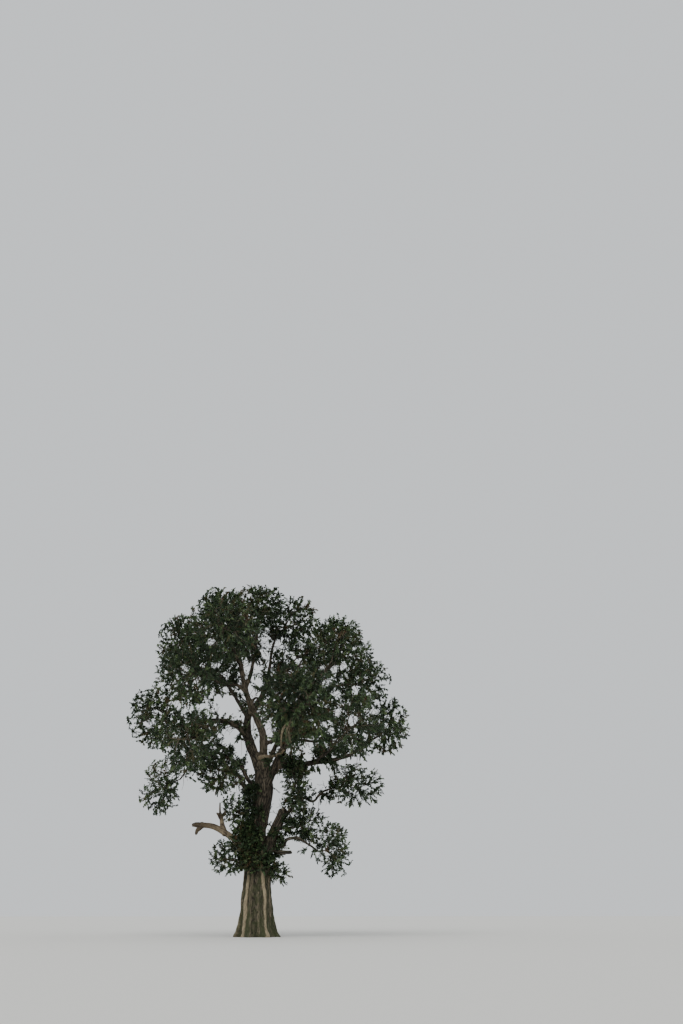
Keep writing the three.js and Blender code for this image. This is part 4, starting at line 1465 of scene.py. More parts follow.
class Growth:
    """The twigs of one mass of foliage, grown from its stem."""

    def __init__(
        self, rule: GrowthRule, index: int, paths: dict[str, Path], obstacles: Obstacles
    ) -> None:
        """Sets a mass out.

        Args:
            rule: The rule that it grows by.
            index: Its place in the table of masses.
            paths: Every limb's line.
            obstacles: The wood that it keeps clear of.
        """
        self.rule = rule
        self.index = index
        self.mass = MASSES[index]
        self.obstacles = obstacles
        self.centre = np.array(self.mass.centre)
        self.half = np.array(self.mass.half)
        self.size = float(np.cbrt(self.half.prod()))
        share = rule.hub_share if self.mass.at == 1 else rule.side_hub_share
        self.start = paths[self.mass.on].at(self.mass.at)
        self.hub = self.start + (self.centre - self.start) * share

    @staticmethod
    def reach(way: np.ndarray, half: np.ndarray) -> float:
        """Gives how far an ellipsoid reaches from its middle along a way."""
        return 1 / float(np.linalg.norm(way / half))

    def within(self, spots: np.ndarray, power: float, edge: float = 1.0) -> np.ndarray:
        """Says which points lie in this mass's rounded outline, or in a share of it."""
        return (np.abs((spots - self.centre) / self.half) ** power).sum(axis=1) < edge**power

    def inside(self, spots: np.ndarray, power: float) -> np.ndarray:
        """Says which points lie in this mass's own space.

        Args:
            spots: The points.
            power: How full the corners of its outline are.

        Returns:
            True for each in its outline and on its own side of every neighbour's wall.
        """
        local = spots - self.centre
        found = self.within(spots, power)
        for other in MASSES:
            if other is self.mass:
                continue
            way = np.array(other.centre) - self.centre
            distance = float(np.linalg.norm(way))
            way = way / distance
            own = self.reach(way, self.half)
            share = own / (own + self.reach(way, np.array(other.half)))
            found &= local @ way < distance * share
        return found

    def targets(self, count: int, inner: float, power: float = 2.0) -> np.ndarray:
        """Gives the places that twigs head for: first straight out, then evenly spread.

        Args:
            count: How many.
            inner: How far out they start, as a share of the mass.
            power: How full the corners of its outline are.

        Returns:
            The places, one in each row.
        """
        rule = self.rule
        place = self.index * rule.stride + np.arange(count)
        u, v, w = ((place / rule.plastic**exponent) % 1 for exponent in (1, 2, 3))
        level = 1 - 2 * u
        around = np.sqrt(1 - level**2)
        turn = 2 * math.pi * v
        reach = inner + (rule.outer_reach - inner) * np.cbrt(w)
        ways = np.stack([around * np.cos(turn), around * np.sin(turn), level], axis=-1)
        ways = ways / (np.abs(ways) ** power).sum(axis=1, keepdims=True) ** (1 / power)
        spots = ways * self.half * reach[:, None] + self.centre
        out = unit(self.centre - np.array(rule.heart))
        spots[0] = self.centre + out * self.reach(out, self.half) * rule.outer_reach
        return spots

    def fine_targets(self, count: int) -> np.ndarray:
        """Gives the places that the finer twigs head for, thinned out between clumps.

        Args:
            count: How many such twigs are wanted.

        Returns:
            The places, one in each row.
        """
        rule = self.rule
        spots = self.targets(count * rule.fine_tries, rule.fine_inner_reach, rule.fine_power)[1:]
        bare = np.arange(len(spots)) % rule.bare_every == 0
        spots = spots[self.inside(spots, rule.fine_power) & (bare | ~in_sky(spots))]
        thick = grain_at(spots, rule.clump)
        return spots[thick > np.quantile(thick, rule.thinned - rule.filled * self.mass.fullness)]

    def grow(self) -> Twigs:
        """Grows the solid's own twigs, and then the finer ones.

        Returns:
            All of them.
        """
        tiny = 1e-6
        rule = self.rule
        volume = 4 / 3 * math.pi * float(self.half.prod())
        wanted = int(np.clip(round(self.size**2), rule.fewest, rule.most))
        finer = round(rule.fine_per_metre3 * volume * self.mass.fullness)
        leaf = rule.leaf_share * self.size
        coarse = self.targets(wanted * rule.tries, rule.inner_reach)
        fine = self.fine_targets(finer)
        room = 1 + 2 * (wanted + len(fine))
        spots = np.tile(self.hub, (room, 1))
        ways = np.tile(unit(self.hub - self.start), (room, 1))
        paths = np.zeros(room)
        before = np.full(room, -1)
        leads: list[tuple[int, int, int]] = []
        goals: list[np.ndarray] = []
        known = 1
        for places, most, shortest, spacing in (
            (coarse, wanted, leaf, rule.tip_spacing * leaf),
            (fine, finer, rule.fine_least, rule.fine_spacing),
        ):
            grown = 0
            for goal in places:
                if grown == most or known + 2 > room:
                    break
                away = goal - spots[:known]
                length = np.linalg.norm(away, axis=1)
                cosine = np.einsum("ij,ij->i", away, ways[:known]) / np.maximum(length, tiny)
                cost = length * (1 + rule.turn_cost * (1 - cosine)) + rule.path_cost * paths[:known]
                best = int(cost.argmin())
                if length[best] < shortest:
                    continue
                if goals and np.linalg.norm(np.array(goals) - goal, axis=1).min() < spacing:
                    continue
                bend = spots[best] + away[best] * rule.bend_share + UP * rule.arch * length[best]
                checked = np.array([bend, (bend + goal) / 2, goal])
                if not self.inside(checked[1:], rule.fine_power).all():
                    continue
                if self.obstacles.room(checked).min() < rule.clearance:
                    continue
                spots[known], spots[known + 1] = bend, goal
                ways[known], ways[known + 1] = unit(bend - spots[best]), unit(goal - bend)
                paths[known] = paths[best] + length[best] * rule.bend_share
                paths[known + 1] = paths[best] + length[best]
                before[known], before[known + 1] = best, known
                leads.append((best, known, known + 1))
                goals.append(goal)
                known += 2
                grown += 1
        tips = np.zeros(known)
        for *_, knot in leads:
            while knot >= 0:
                tips[knot] += 1
                knot = before[knot]
        starts, bends, ends = np.array(leads).T
        return Twigs(spots[starts], spots[bends], spots[ends], tips[bends])


def new_group(name: str, inputs: dict[str, str], output: str) -> bpy.types.NodeTree:
    """Starts a Geometry Nodes tree.

    Args:
        name: Its name.
        inputs: The type of each of its inputs, by name.
        output: The name of the geometry that it gives.

    Returns:
        The tree.
    """
    tree = bpy.data.node_groups.new(name, "GeometryNodeTree")
    for label, kind in inputs.items():
        tree.interface.new_socket(label, in_out="INPUT", socket_type=f"NodeSocket{kind}")
    tree.interface.new_socket(output, in_out="OUTPUT", socket_type="NodeSocketGeometry")
    return tree


def stored_value(tree: bpy.types.NodeTree, name: str, kind: str) -> Socket:
    """Reads an attribute of the points inside a Geometry Nodes tree."""
    node = add_node(tree, "GeometryNodeInputNamedAttribute", {"data_type": kind}, {"Name": name})
    return node.outputs["Attribute"]


def run_group(
    piece: bpy.types.Object, tree: bpy.types.NodeTree, values: dict[str, object]
) -> bpy.types.Object:
    """Runs a Geometry Nodes tree on an object and keeps what it makes as a plain mesh.

    Args:
        piece: The object.
        tree: The tree.
        values: The value of each of its inputs, by name.

    Returns:
        The same object.
    """
    run = piece.modifiers.new(tree.name, "NODES")
    run.node_group = tree
    for item in tree.interface.items_tree:
        if item.item_type == "SOCKET" and item.in_out == "INPUT" and item.name in values:
            run[item.identifier] = values[item.name]
    return applied(piece)


@dataclass(frozen=True)
class Rods:
    """Thin round rods along many lines, made by Geometry Nodes.

    Attributes:
        sides: How many sides each rod has.
    """

    sides: int = 3

    def tree(self) -> bpy.types.NodeTree:
        """Builds the node tree: lines to curves, curves to rods."""
        inputs = {"Lines": "Geometry", "Sides": "Int", "Finish": "Material"}
        tree = new_group("rods_along_lines", inputs, "Rods")
        given = add_node(tree, "NodeGroupInput").outputs
        curves = add_node(tree, "GeometryNodeMeshToCurve", inputs={"Mesh": given["Lines"]})
        outline = add_node(
            tree, "GeometryNodeCurvePrimitiveCircle",
            inputs={"Resolution": given["Sides"], "Radius": 1.0},
        )
        rods = add_node(
            tree, "GeometryNodeCurveToMesh",
            inputs={"Curve": curves.outputs["Curve"], "Profile Curve": outline.outputs["Curve"],
                    "Scale": stored_value(tree, "thickness", "FLOAT"), "Fill Caps": True},
        )
        real = add_node(
            tree, "GeometryNodeRealizeInstances", inputs={"Geometry": rods.outputs["Mesh"]})
        dressed = add_node(
            tree, "GeometryNodeSetMaterial",
            inputs={"Geometry": real.outputs["Geometry"], "Material": given["Finish"]},
        )
        add_node(tree, "NodeGroupOutput", inputs={"Rods": dressed.outputs["Geometry"]})
        return tree

    def build(
        self, name: str, lines: np.ndarray, thickness: np.ndarray, material: bpy.types.Material
    ) -> bpy.types.Object:
        """Makes one piece of rods.

        Args:
            name: The piece's name.
            lines: The points of each line, as an array of lines by points by 3.
            thickness: The radius at each of those points.
            material: The rods' material.

        Returns:
            The piece, as a plain mesh.
        """
        count, steps = lines.shape[:2]
        starts = (np.arange(count)[:, None] * steps + np.arange(steps - 1)[None]).ravel()
        edges = np.stack([starts, starts + 1], axis=-1)
        mesh = bpy.data.meshes.new(name)
        mesh.from_pydata(lines.reshape(-1, 3).tolist(), edges.tolist(), [])
        store(mesh, "thickness", "FLOAT", thickness)
        values = {"Sides": self.sides, "Finish": material}
        return run_group(placed(name, mesh), self.tree(), values)


@dataclass(frozen=True)
class Leaf:
    """One leaf: a pointed oval, folded along its midrib and bent down at its tip.

    Attributes:
        wide: Its greatest half width, as a share of its length.
        near: How far along its lower corners lie.
        far: How far along its upper corners lie.
        far_wide: Its half width there, as a share of the greatest.
        fold: How far its edges rise above the midrib.
        droop: How far its tip hangs.
    """

    wide: float = 0.27
    near: float = 0.36
    far: float = 0.72
    far_wide: float = 0.72
    fold: float = 0.07
    droop: float = 0.12

    def mesh(self) -> bpy.types.Mesh:
        """Makes the leaf's mesh, one unit long, from its root along +Y, facing +Z."""
        right = [(self.wide, self.near, self.fold),
                 (self.wide * self.far_wide, self.far, self.fold / 2)]
        left = [(-x, y, z) for x, y, z in reversed(right)]
        mesh = bpy.data.meshes.new("leaf_outline")
        outline = [(0, 0, 0), *right, (0, 1, -self.droop), *left]
        mesh.from_pydata(outline, [], [(0, 1, 2, 3), (0, 3, 4, 5)])
        return mesh


@dataclass(frozen=True)
class Sprays:
    """The leaves, in a spray round the end of each twig, made by Geometry Nodes.

    Attributes:
        leaf: The leaf that is repeated.
        length: The length of a leaf, in metres. Real ones are about half as long.
        spread: How much shorter and longer leaves are, as shares of that.
        widths: How much narrower and wider.
        folds: How much flatter and more deeply folded.
        leaves: How many a spray has.
        depth: How far back along its twig a spray starts, in metres.
        most_depth: The same at most, in lengths of the twig's last stretch.
        uneven: How unevenly its leaves are spaced, where 1 is by a whole space.
        spiral: How far each leaf is turned round the twig from the one before.
        tip_turn: How far the last leaf turns out from its twig, in degrees.
        back_turn: How far the first one does.
        sag: How far leaves hang down.
        stray: How far they point away from their place in the spray.
        lean: How far their faces lean out from the twig.
        tumble: How far their faces turn at random.
        patch: The size of the patches that share a colour, in metres.
        patchy: How much a patch decides the colour of its sprays.
        mixed: How much chance does.
        edge: How far out tips may reach, as a share of the mass.
    """

    leaf: Leaf = Leaf()
    length: float = 0.17
    spread: Span = (0.7, 1.2)
    widths: Span = (0.85, 1.15)
    folds: Span = (0.3, 2.0)
    leaves: int = 13
    depth: float = 0.55
    most_depth: float = 1.3
    uneven: float = 0.9
    spiral: float = 2.4
    tip_turn: float = 15.0
    back_turn: float = 70.0
    sag: float = 0.25
    stray: float = 0.18
    lean: float = 0.35
    tumble: float = 0.45
    patch: float = 2.5
    patchy: float = 0.9
    mixed: float = 0.5
    edge: float = 1.02

    def tree(self, blades: Sequence[bpy.types.Material]) -> bpy.types.NodeTree:
        """Builds the node tree: a leaf on every point, then one finish for each colour.

        Args:
            blades: The materials, of which each leaf has one.

        Returns:
            The tree.
        """
        inputs = {"Points": "Geometry", "Leaf": "Object"}
        inputs.update((blade.name, "Material") for blade in blades)
        tree = new_group("leaves_on_points", inputs, "Leaves")
        given = add_node(tree, "NodeGroupInput").outputs
        way, face, scale = (stored_value(tree, name, "FLOAT_VECTOR") for name in LEAF_VECTORS)
        tint = stored_value(tree, "tint", "INT")
        turn = add_node(
            tree, "FunctionNodeAxesToRotation", {"primary_axis": "Y", "secondary_axis": "Z"},
            {"Primary Axis": way, "Secondary Axis": face},
        )
        outline = add_node(tree, "GeometryNodeObjectInfo", inputs={"Object": given["Leaf"]})
        spread = add_node(
            tree, "GeometryNodeInstanceOnPoints",
            inputs={"Points": given["Points"], "Instance": outline.outputs["Geometry"],
                    "Rotation": turn.outputs["Rotation"], "Scale": scale},
        )
        leaves = add_node(
            tree, "GeometryNodeRealizeInstances", inputs={"Geometry": spread.outputs["Instances"]}
        ).outputs["Geometry"]
        for number, blade in enumerate(blades):
            chosen = add_node(
                tree, "FunctionNodeCompare", {"data_type": "INT", "operation": "EQUAL"},
                {2: tint, 3: number},
            )
            leaves = add_node(
                tree, "GeometryNodeSetMaterial",
                inputs={"Geometry": leaves, "Selection": chosen.outputs["Result"],
                        "Material": given[blade.name]},
            ).outputs["Geometry"]
        add_node(tree, "NodeGroupOutput", inputs={"Leaves": leaves})
        return tree

    def places(
        self, twigs: Twigs, obstacles: Obstacles, draw: np.random.Generator,
        growth: Growth | None = None,
    ) -> dict[str, np.ndarray]:
        """Works out where leaves are and how each is turned.

        Args:
            twigs: The twigs that bear them.
            obstacles: The wood that they keep out of.
            draw: The source of their random numbers.
            growth: The mass that they keep in, if they belong to one.

        Returns:
            By name, the root, way, face, scale and tint of every leaf.
        """
        shape = (len(twigs.ends), self.leaves)
        span = twigs.ends - twigs.bends
        length = np.linalg.norm(span, axis=1)[:, None]
        way = (span / length)[:, None, :]
        level, rise = (part[:, None, :] for part in framed(way[:, 0]))
        order = (np.arange(self.leaves) + draw.uniform(0, self.uneven, shape)) / self.leaves
        back = np.minimum(order * self.depth / length, self.most_depth)
        roots = twigs.ends[:, None, :] - span[:, None, :] * back[..., None]
        turn = np.arange(self.leaves) * self.spiral + draw.uniform(0, 2 * math.pi, (shape[0], 1))
        aside = level * np.cos(turn)[..., None] + rise * np.sin(turn)[..., None]
        angle = np.radians(self.tip_turn + (self.back_turn - self.tip_turn) * order)[..., None]
        ways = way * np.cos(angle) + aside * np.sin(angle) - UP * self.sag
        ways = unit(ways + draw.normal(0, self.stray, (*shape, 3)))
        faces = UP + aside * self.lean + draw.normal(0, self.tumble, (*shape, 3))
        faces = unit(faces - ways * np.einsum("ijk,ijk->ij", faces, ways)[..., None])
        size = self.length * draw.uniform(*self.spread, shape)
        scale = size[..., None] * np.stack(
            [draw.uniform(*self.widths, shape), np.ones(shape), draw.uniform(*self.folds, shape)],
            axis=-1)
        found = {"root": roots, "way": ways, "face": faces, "scale": scale}
        found = {name: values.reshape(-1, 3) for name, values in found.items()}
        found["tint"] = np.repeat(self.tints(twigs.ends, draw), self.leaves)
        reach = found["way"] * size.reshape(-1, 1)
        middles = found["root"] + reach / 2
        tips = found["root"] + reach
        kept = ~in_sky(middles) & ~in_sky(tips) & (obstacles.room(middles) > 0)
        if growth:
            kept &= growth.within(tips, growth.rule.fine_power, self.edge)
        return {name: values[kept] for name, values in found.items()}

    def tints(self, spots: np.ndarray, draw: np.random.Generator) -> np.ndarray:
        """Deals a colour out to each spray.

        Args:
            spots: Where the sprays are.
            draw: The source of the mass's random numbers.

        Returns:
            The number of each spray's colour.
        """
        value = grain_at(spots, self.patch) * self.patchy + draw.normal(0, self.mixed, len(spots))
        order = value.argsort().argsort() / len(spots)
        limits = np.cumsum([blade.share for blade in LEAF_BLADES])
        return np.minimum(np.searchsorted(limits, order), len(LEAF_BLADES) - 1)

    def build(
        self, name: str, places: dict[str, np.ndarray], blades: Sequence[bpy.types.Material]
    ) -> bpy.types.Object:
        """Makes one piece of leaves.

        Args:
            name: The piece's name.
            places: What places() gives.
            blades: The leaves' materials.

        Returns:
            The piece, as a plain mesh.
        """
        mesh = bpy.data.meshes.new(name)
        mesh.from_pydata(places["root"].tolist(), [], [])
        for part in LEAF_VECTORS:
            store(mesh, part, "FLOAT_VECTOR", places[part])
        store(mesh, "tint", "INT", places["tint"])
        pattern = placed("leaf_pattern", self.leaf.mesh())
        values = {"Leaf": pattern, **{blade.name: blade for blade in blades}}
        piece = run_group(placed(name, mesh), self.tree(blades), values)
        bpy.data.objects.remove(pattern)
        for part in (*LEAF_VECTORS, "tint"):
            if part in piece.data.attributes:
                piece.data.attributes.remove(piece.data.attributes[part])
        return piece


@dataclass(frozen=True)
class Stand:
    """A stretch of limb that bears short leafy shoots.

    Attributes:
        limb: The limb.
        shares: Where the stretch starts and ends, as shares of the way along it.
        count: How many shoots it bears.
        toward: The way that most of them face.
    """

    limb: str
    shares: Span
    count: int
    toward: Point = (0, 0, 0.3)


@dataclass(frozen=True)
class Shoots:
    """Short leafy shoots that grow straight out of the bark of trunk and boughs.

    Attributes:
        stands: Where they grow.
        lengths: The shortest and the longest, in metres.
        hold: How far out from a limb's middle they start, as a share of its radius.
        lift: How strongly they turn up.
        stray: How far they turn aside at random.
        sides: How many side twigs each has.
        fork: Where those leave it, as shares of the way along.
        spread: How far those turn aside.
        shorter: How long those are, as a share of a shoot's length.
        bend_share: Where a twig bends.
        arch: How far it rises there, in metres.
    """

    stands: tuple[Stand, ...] = (
        Stand("trunk", (0.36, 0.82), 140, (-1.6, -1.0, 0)),
        Stand("trunk", (0.37, 0.58), 70, (-0.9, -1.7, 0)),
        Stand("trunk", (0.33, 0.45), 20, (1.0, -0.6, 0)),
        Stand("right_stem", (0, 0.35), 34, (1.0, -0.9, 0)),
        Stand("right_stem", (0.3, 0.98), 44, (1.2, -0.4, 0)),
        Stand("dead_bough", (0.05, 0.42), 44, (0, -0.7, 0.2)),
        Stand("hanging_right_bough", (0, 1), 30), Stand("rising_right_bough", (0.06, 0.3), 16),
        Stand("level_right_bough", (0.06, 0.5), 50, (0, -0.5, -0.1)),
        Stand("central_leader", (0.45, 1), 34), Stand("left_leader", (0.5, 1), 26),
        Stand("left_bough", (0.05, 0.55), 26, (0, 0, -0.5)),
        Stand("left_bough", (0.4, 1), 22), Stand("upper_right_leader", (0.1, 1), 18),
        Stand("top_right_leader", (0.1, 1), 18), Stand("high_left_bough", (0.2, 1), 16),
        Stand("rising_right_bough", (0.3, 1), 42), Stand("level_right_bough", (0.3, 0.9), 46),
        Stand("middle_right_bough", (0.1, 1), 26), Stand("right_side_bough", (0.2, 1), 14),
        Stand("winding_bough", (0.1, 1), 40), Stand("arch_fall", (0.4, 1), 6),
        Stand("low_left_bough", (0.3, 1), 22), Stand("low_left_end", (0, 1), 20),
        Stand("back_bough", (0.4, 1), 24), Stand("back_left_bough", (0.4, 1), 24),
        Stand("low_back_bough", (0.3, 1), 18), Stand("front_right_bough", (0.2, 1), 32),
        Stand("front_level_bough", (0.2, 1), 26), Stand("front_left_bough", (0.2, 1), 28),
        Stand("front_high_left_bough", (0.1, 1), 26), Stand("front_top_bough", (0.1, 1), 26),
        Stand("back_top_bough", (0.2, 1), 18), Stand("back_right_bough", (0.2, 1), 20),
    )
    lengths: Span = (0.4, 1.0)
    hold: float = 0.8
    lift: float = 0.4
    stray: float = 0.25
    sides: int = 2
    fork: Span = (0.3, 0.7)
    spread: float = 0.6
    shorter: float = 0.6
    bend_share: float = 0.35
    arch: float = 0.03

    def grow(self, branching: Branching) -> Twigs:
        """Grows them all.

        Args:
            branching: The limbs that bear them.

        Returns:
            The shoots and their side twigs.
        """
        draw = np.random.default_rng(SEED)
        paths = branching.paths()
        rows: list[tuple[np.ndarray, np.ndarray, np.ndarray, int]] = []
        for stand in self.stands:
            path = paths[stand.limb]
            for share in draw.uniform(*stand.shares, stand.count):
                way = path.way(share)
                out = draw.normal(0, 1, 3) + np.array(stand.toward)
                out = unit(out - way * out.dot(way))
                start = path.at(share) + out * branching.radius(stand.limb, share) * self.hold
                head = unit(out + UP * self.lift + draw.normal(0, self.stray, 3))
                end = start + head * draw.uniform(*self.lengths)
                rows.append(self.row(start, end, 1 + self.sides))
                for _ in range(self.sides):
                    fork = start + (end - start) * draw.uniform(*self.fork)
                    aside = unit(head + draw.normal(0, self.spread, 3))
                    tip = fork + aside * draw.uniform(*self.lengths) * self.shorter
                    rows.append(self.row(fork, tip, 1))
        starts, bends, ends, tips = zip(*rows)
        return Twigs(np.array(starts), np.array(bends), np.array(ends), np.array(tips))

    def row(self, start: np.ndarray, end: np.ndarray, tips: int) -> tuple:
        """Gives one twig's start, bend, end and number of tips."""
        return start, start + (end - start) * self.bend_share + UP * self.arch, end, tips


def dress(piece: bpy.types.Object, nodes: Sequence[str] = ()) -> None:
    """Gives a piece its body and what it replaces, and logs its size.

    Args:
        piece: The piece.
        nodes: The nodes that it stands for.
    """
    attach(piece, "root")
    if nodes:
        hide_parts(*nodes)
    count = sum(len(face.vertices) - 2 for face in piece.data.polygons)
    LOG.info("%s: %d triangles", piece.name, count)


@dataclass(frozen=True)
class Crown:
    """All the foliage: twigs and leaves, in one piece of each for every region.

    Attributes:
        rule: The rule that twigs grow by.
        sprays: The leaves.
        shoots: The shoots straight out of the bark.
        tip_radius: The radius of a twig's end, in metres.
        thickening: How fast a twig thickens with the ends that hang on it.
        taper_power: How late it gets thin, where 1 is evenly along it.
        kink: How far a twig strays from its smooth line, as a share of its length.
        kink_share: Where it does so.
        most_thick: The thickest that a twig may be, as a share of its stem.
        stem_share: The radius of a stem, as a share of the tip that bears it.
        side_stem: The radius of a stem on the side of a limb, in metres.
        sunk: How far a stem starts inside its limb, in metres.
    """

    rule: GrowthRule = GrowthRule()
    sprays: Sprays = Sprays()
    shoots: Shoots = Shoots()
    tip_radius: float = 0.011
    thickening: float = 0.53
    taper_power: float = 0.8
    kink: float = 0.055
    kink_share: float = 0.68
    most_thick: float = 0.85
    stem_share: float = 0.85
    side_stem: float = 0.07
    sunk: float = 0.06

    def lines(self, twigs: Twigs, stem: float) -> tuple[np.ndarray, np.ndarray]:
        """Draws twigs as lines with a radius.

        Args:
            twigs: The twigs.
            stem: The radius of the stem that bears them.

        Returns:
            The lines, as lines by points by 3, and the radius at each point.
        """
        bend = self.rule.bend_share
        shares = np.array([0.0, bend, self.kink_share, 1.0])
        first = (shares - bend) * (shares - 1) / bend
        second = shares * (shares - 1) / (bend * (bend - 1))
        third = shares * (shares - bend) / (1 - bend)
        lines = (twigs.starts[:, None] * first[None, :, None]
                 + twigs.bends[:, None] * second[None, :, None]
                 + twigs.ends[:, None] * third[None, :, None])
        draw = np.random.default_rng(SEED)
        length = np.linalg.norm(twigs.ends - twigs.starts, axis=1)
        lines[:, 2] += draw.normal(0, self.kink, twigs.ends.shape) * length[:, None]
        thick = np.minimum(stem * self.most_thick, self.tip_radius * twigs.tips**self.thickening)
        thinned = shares[None] ** self.taper_power
        return lines, thick[:, None] + (self.tip_radius - thick)[:, None] * thinned

    def stem_of(self, growth: Growth, branching: Branching) -> tuple[float, np.ndarray, np.ndarray]:
        """Gives the radius, the line and the radii of a mass's stem, out of its limb."""
        radius = self.side_stem
        if growth.mass.at == 1:
            radius = branching.radius(growth.mass.on, 1) * self.stem_share
        points_on_line = 4
        shares = np.linspace(0, 1, points_on_line)
        into = growth.start - unit(growth.hub - growth.start) * self.sunk
        line = into + (growth.hub - into) * shares[:, None]
        return radius, line[None], (radius * (1 - (1 - self.most_thick) * shares))[None]

    def build(
        self, branching: Branching, bark: bpy.types.Material, blades: Sequence[bpy.types.Material]
    ) -> None:
        """Grows every mass and makes the pieces, one of twigs and one of leaves for a region.

        Args:
            branching: The limbs that bear them.
            bark: The twigs' material.
            blades: The leaves' materials.
        """
        obstacles = Obstacles(branching)
        paths = branching.paths()
        lines: dict[Region, list[tuple[np.ndarray, np.ndarray]]] = {region: [] for region in Region}
        leaves: dict[Region, list[dict[str, np.ndarray]]] = {region: [] for region in Region}
        for index, mass in enumerate(MASSES):
            growth = Growth(self.rule, index, paths, obstacles)
            twigs = growth.grow()
            draw = np.random.default_rng([SEED, index])
            stem, *stem_line = self.stem_of(growth, branching)
            lines[mass.region].extend([tuple(stem_line), self.lines(twigs, stem)])
            leaves[mass.region].append(self.sprays.places(twigs, obstacles, draw, growth))
        twigs = self.shoots.grow(branching)
        draw = np.random.default_rng([SEED, len(MASSES)])
        lines[Region.SHOOT].append(self.lines(twigs, self.side_stem))
        leaves[Region.SHOOT].append(self.sprays.places(twigs, obstacles, draw))
        for region in Region:
            spots, sizes = (np.concatenate(parts) for parts in zip(*lines[region]))
            together = {
                name: np.concatenate([found[name] for found in leaves[region]])
                for name in leaves[region][0]
            }
            nodes = [mass.name for mass in MASSES if mass.region is region]
            dress(Rods().build(f"{region.value}_twigs", spots, sizes, bark))
            dress(self.sprays.build(f"{region.value}_leaves", together, blades), nodes)


@dataclass(frozen=True)
class HangingRoots:
    """Thin aerial roots and bare twigs that hang from the undersides of boughs.

    Attributes:
        hosts: The limbs that they hang from, and how many hang from each.
        stretch: The stretch of a limb that bears them, as shares of the way along it.
        lengths: The shortest and the longest, in metres.
        radius: Their radius at the top, in metres.
        thin: Their radius at the bottom, as a share of that.
        stray: How far they stray from one point to the next, in metres.
        hold: How far below a limb's middle they start, as a share of its radius.
        steps: The points along each.
        strands: The points that each bundle of strands in front passes through.
        strands_each: How many strands a bundle has.
        strand_spread: How far they stray from its middle, in metres.
        strand_lengths: The shortest and the longest, as shares of the bundle.
        strand_thickness: How many times thicker they are than the other roots.
        strand_thin: How much of that is left at the bottom, as a share.
    """

    hosts: tuple[tuple[str, int], ...] = (
        ("central_leader", 4), ("rising_right_bough", 9), ("level_right_bough", 12),
        ("left_bough", 8), ("low_left_bough", 5), ("middle_right_bough", 6),
        ("winding_bough", 5), ("back_bough", 5), ("low_back_bough", 4), ("front_right_bough", 5),
        ("left_leader", 4), ("low_left_end", 3))
    stretch: Span = (0.25, 0.95)
    lengths: Span = (0.5, 1.7)
    radius: float = 0.018
    thin: float = 0.35
    stray: float = 0.035
    hold: float = 0.6
    steps: int = 7
    strands: tuple[tuple[Point, ...], ...] = (
        ((1.9, -5.6, 12.7), (1.25, -7.5, 11.7), (1.11, -7.6, 11.1), (1.1, -7.5, 10.2)),
        ((2, -5.7, 12.6), (1.5, -7.4, 11.7), (1.65, -7.6, 11), (1.72, -7.5, 10.5)),
    )
    strands_each: int = 5
    strand_spread: float = 0.05
    strand_lengths: Span = (0.8, 1.0)
    strand_thickness: float = 1.5
    strand_thin: float = 0.6

    def build(self, branching: Branching, material: bpy.types.Material) -> bpy.types.Object:
        """Makes one piece of all of them.

        Args:
            branching: The limbs.
            material: Their material.

        Returns:
            The piece.
        """
        draw = np.random.default_rng(SEED)
        paths = branching.paths()
        drops = np.linspace(0, 1, self.steps)
        lines = []
        for name, count in self.hosts:
            for share in draw.uniform(*self.stretch, count):
                top = paths[name].at(share) - UP * branching.radius(name, share) * self.hold
                length = draw.uniform(*self.lengths)
                stray = np.cumsum(draw.normal(0, self.stray, (self.steps, 3)), axis=0)
                lines.append(top + stray * [1, 1, 0] - np.outer(drops, UP) * length)
        for through in self.strands:
            for _ in range(self.strands_each):
                path = Path(np.array(through) + draw.normal(0, self.strand_spread, (len(through), 3)))
                lines.append(path.at(np.linspace(0, draw.uniform(*self.strand_lengths), self.steps)))
        sizes = np.tile(self.radius * np.linspace(1, self.thin, self.steps), (len(lines), 1))
        bundled = len(self.strands) * self.strands_each
        sizes[-bundled:] *= self.strand_thickness * np.linspace(1, self.strand_thin, self.steps)
        return Rods(sides=5).build("hanging_roots", np.array(lines), sizes, material)


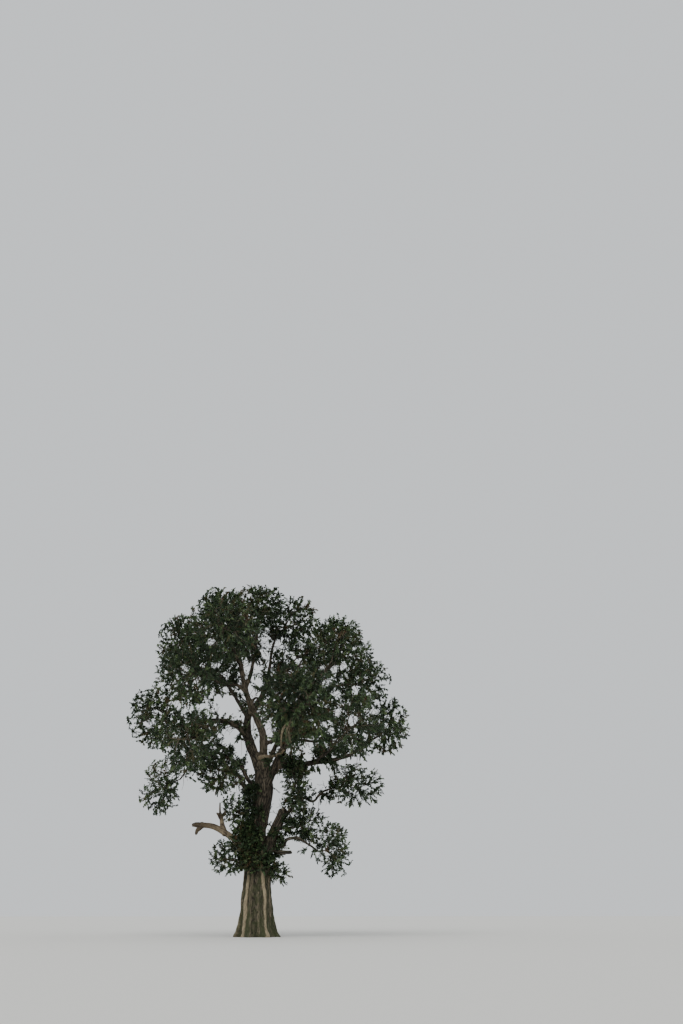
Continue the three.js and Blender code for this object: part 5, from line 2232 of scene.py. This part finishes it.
class Stage:
    """The plain pale floor, the soft light and the camera."""

    TURN_RIGHT = 4.4648
    TILT_UP = 21.7595
    LEVEL = 90.0
    LENS = 35.0
    SENSOR = 36.0
    SIGHT = 500.0
    FLOOR = 400.0
    FLOOR_COLOUR = 0xD8D6D0
    SKY_COLOUR = 0xE9EDF0
    SUN_STRENGTH = 1.6
    SUN_SPREAD = 50.0
    SUN_TILT = (38.0, -18.0, 0.0)

    def build(self) -> None:
        """Sets all of it up."""
        self.floor()
        self.light()
        self.camera()

    def floor(self) -> None:
        """Lays the floor."""
        mesh = bpy.data.meshes.new("floor")
        half = self.FLOOR / 2
        corners = [(-half, -half, 0), (half, -half, 0), (half, half, 0), (-half, half, 0)]
        mesh.from_pydata(corners, [], [(0, 1, 2, 3)])
        values = {"Base Color": linear(self.FLOOR_COLOUR), "Roughness": 0.9}
        mesh.materials.append(Shading("matt floor paint", values).material)
        placed("floor", mesh)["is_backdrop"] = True

    def light(self) -> None:
        """Lights the scene evenly from all round, and softly from above."""
        world = bpy.data.worlds.new("studio")
        world.use_nodes = True
        back = world.node_tree.nodes["Background"]
        back.inputs["Color"].default_value = linear(self.SKY_COLOUR)
        back.inputs["Strength"].default_value = 1.0
        bpy.context.scene.world = world
        lamp = bpy.data.lights.new("soft_light", "SUN")
        lamp.energy = self.SUN_STRENGTH
        lamp.angle = math.radians(self.SUN_SPREAD)
        sun = placed("soft_light", lamp)
        sun.rotation_euler = [math.radians(angle) for angle in self.SUN_TILT]

    def camera(self) -> None:
        """Stands the camera where the photograph was taken from."""
        camera = bpy.data.cameras.new("camera")
        camera.lens = self.LENS
        camera.sensor_width = self.SENSOR
        camera.clip_end = self.SIGHT
        eye = placed("camera", camera)
        eye.location = VIEWPOINT
        rise, turn = math.radians(self.LEVEL + self.TILT_UP), math.radians(-self.TURN_RIGHT)
        eye.rotation_euler = (rise, 0, turn)
        bpy.context.scene.camera = eye


def main() -> None:
    """Builds the tree around its frame."""
    logging.basicConfig(level=logging.INFO, format="%(message)s")
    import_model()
    frame_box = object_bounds()
    Stage().build()

    branching = Branching()
    bare = BareWood().build()
    skin = Skin("bark", voxel=0.04, relief=Relief(), kept=0.5).build(
        branching.living(), branching, Bark().build(), foot=True)
    living = [limb.name for limb in LIMBS if limb.wood is Wood.LIVING]
    dress(skin, ["trunk", "left_aerial_root", "right_aerial_root", *living])

    relief = Relief(flute=0.12, lump=0.03, ridge=0.015)
    dead = Skin("dead_wood", voxel=0.025, relief=relief, softening=1).build(
        branching.dead(), branching, bare, foot=False)
    dress(dead, ["dead_bough"])
    dress(HangingRoots().build(branching, bare))
    Crown().build(branching, TwigBark().build(), [blade.build() for blade in LEAF_BLADES])

    boxes = [[list(corner) for corner in box] for box in (frame_box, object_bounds())]


if __name__ == "__main__":
    main()
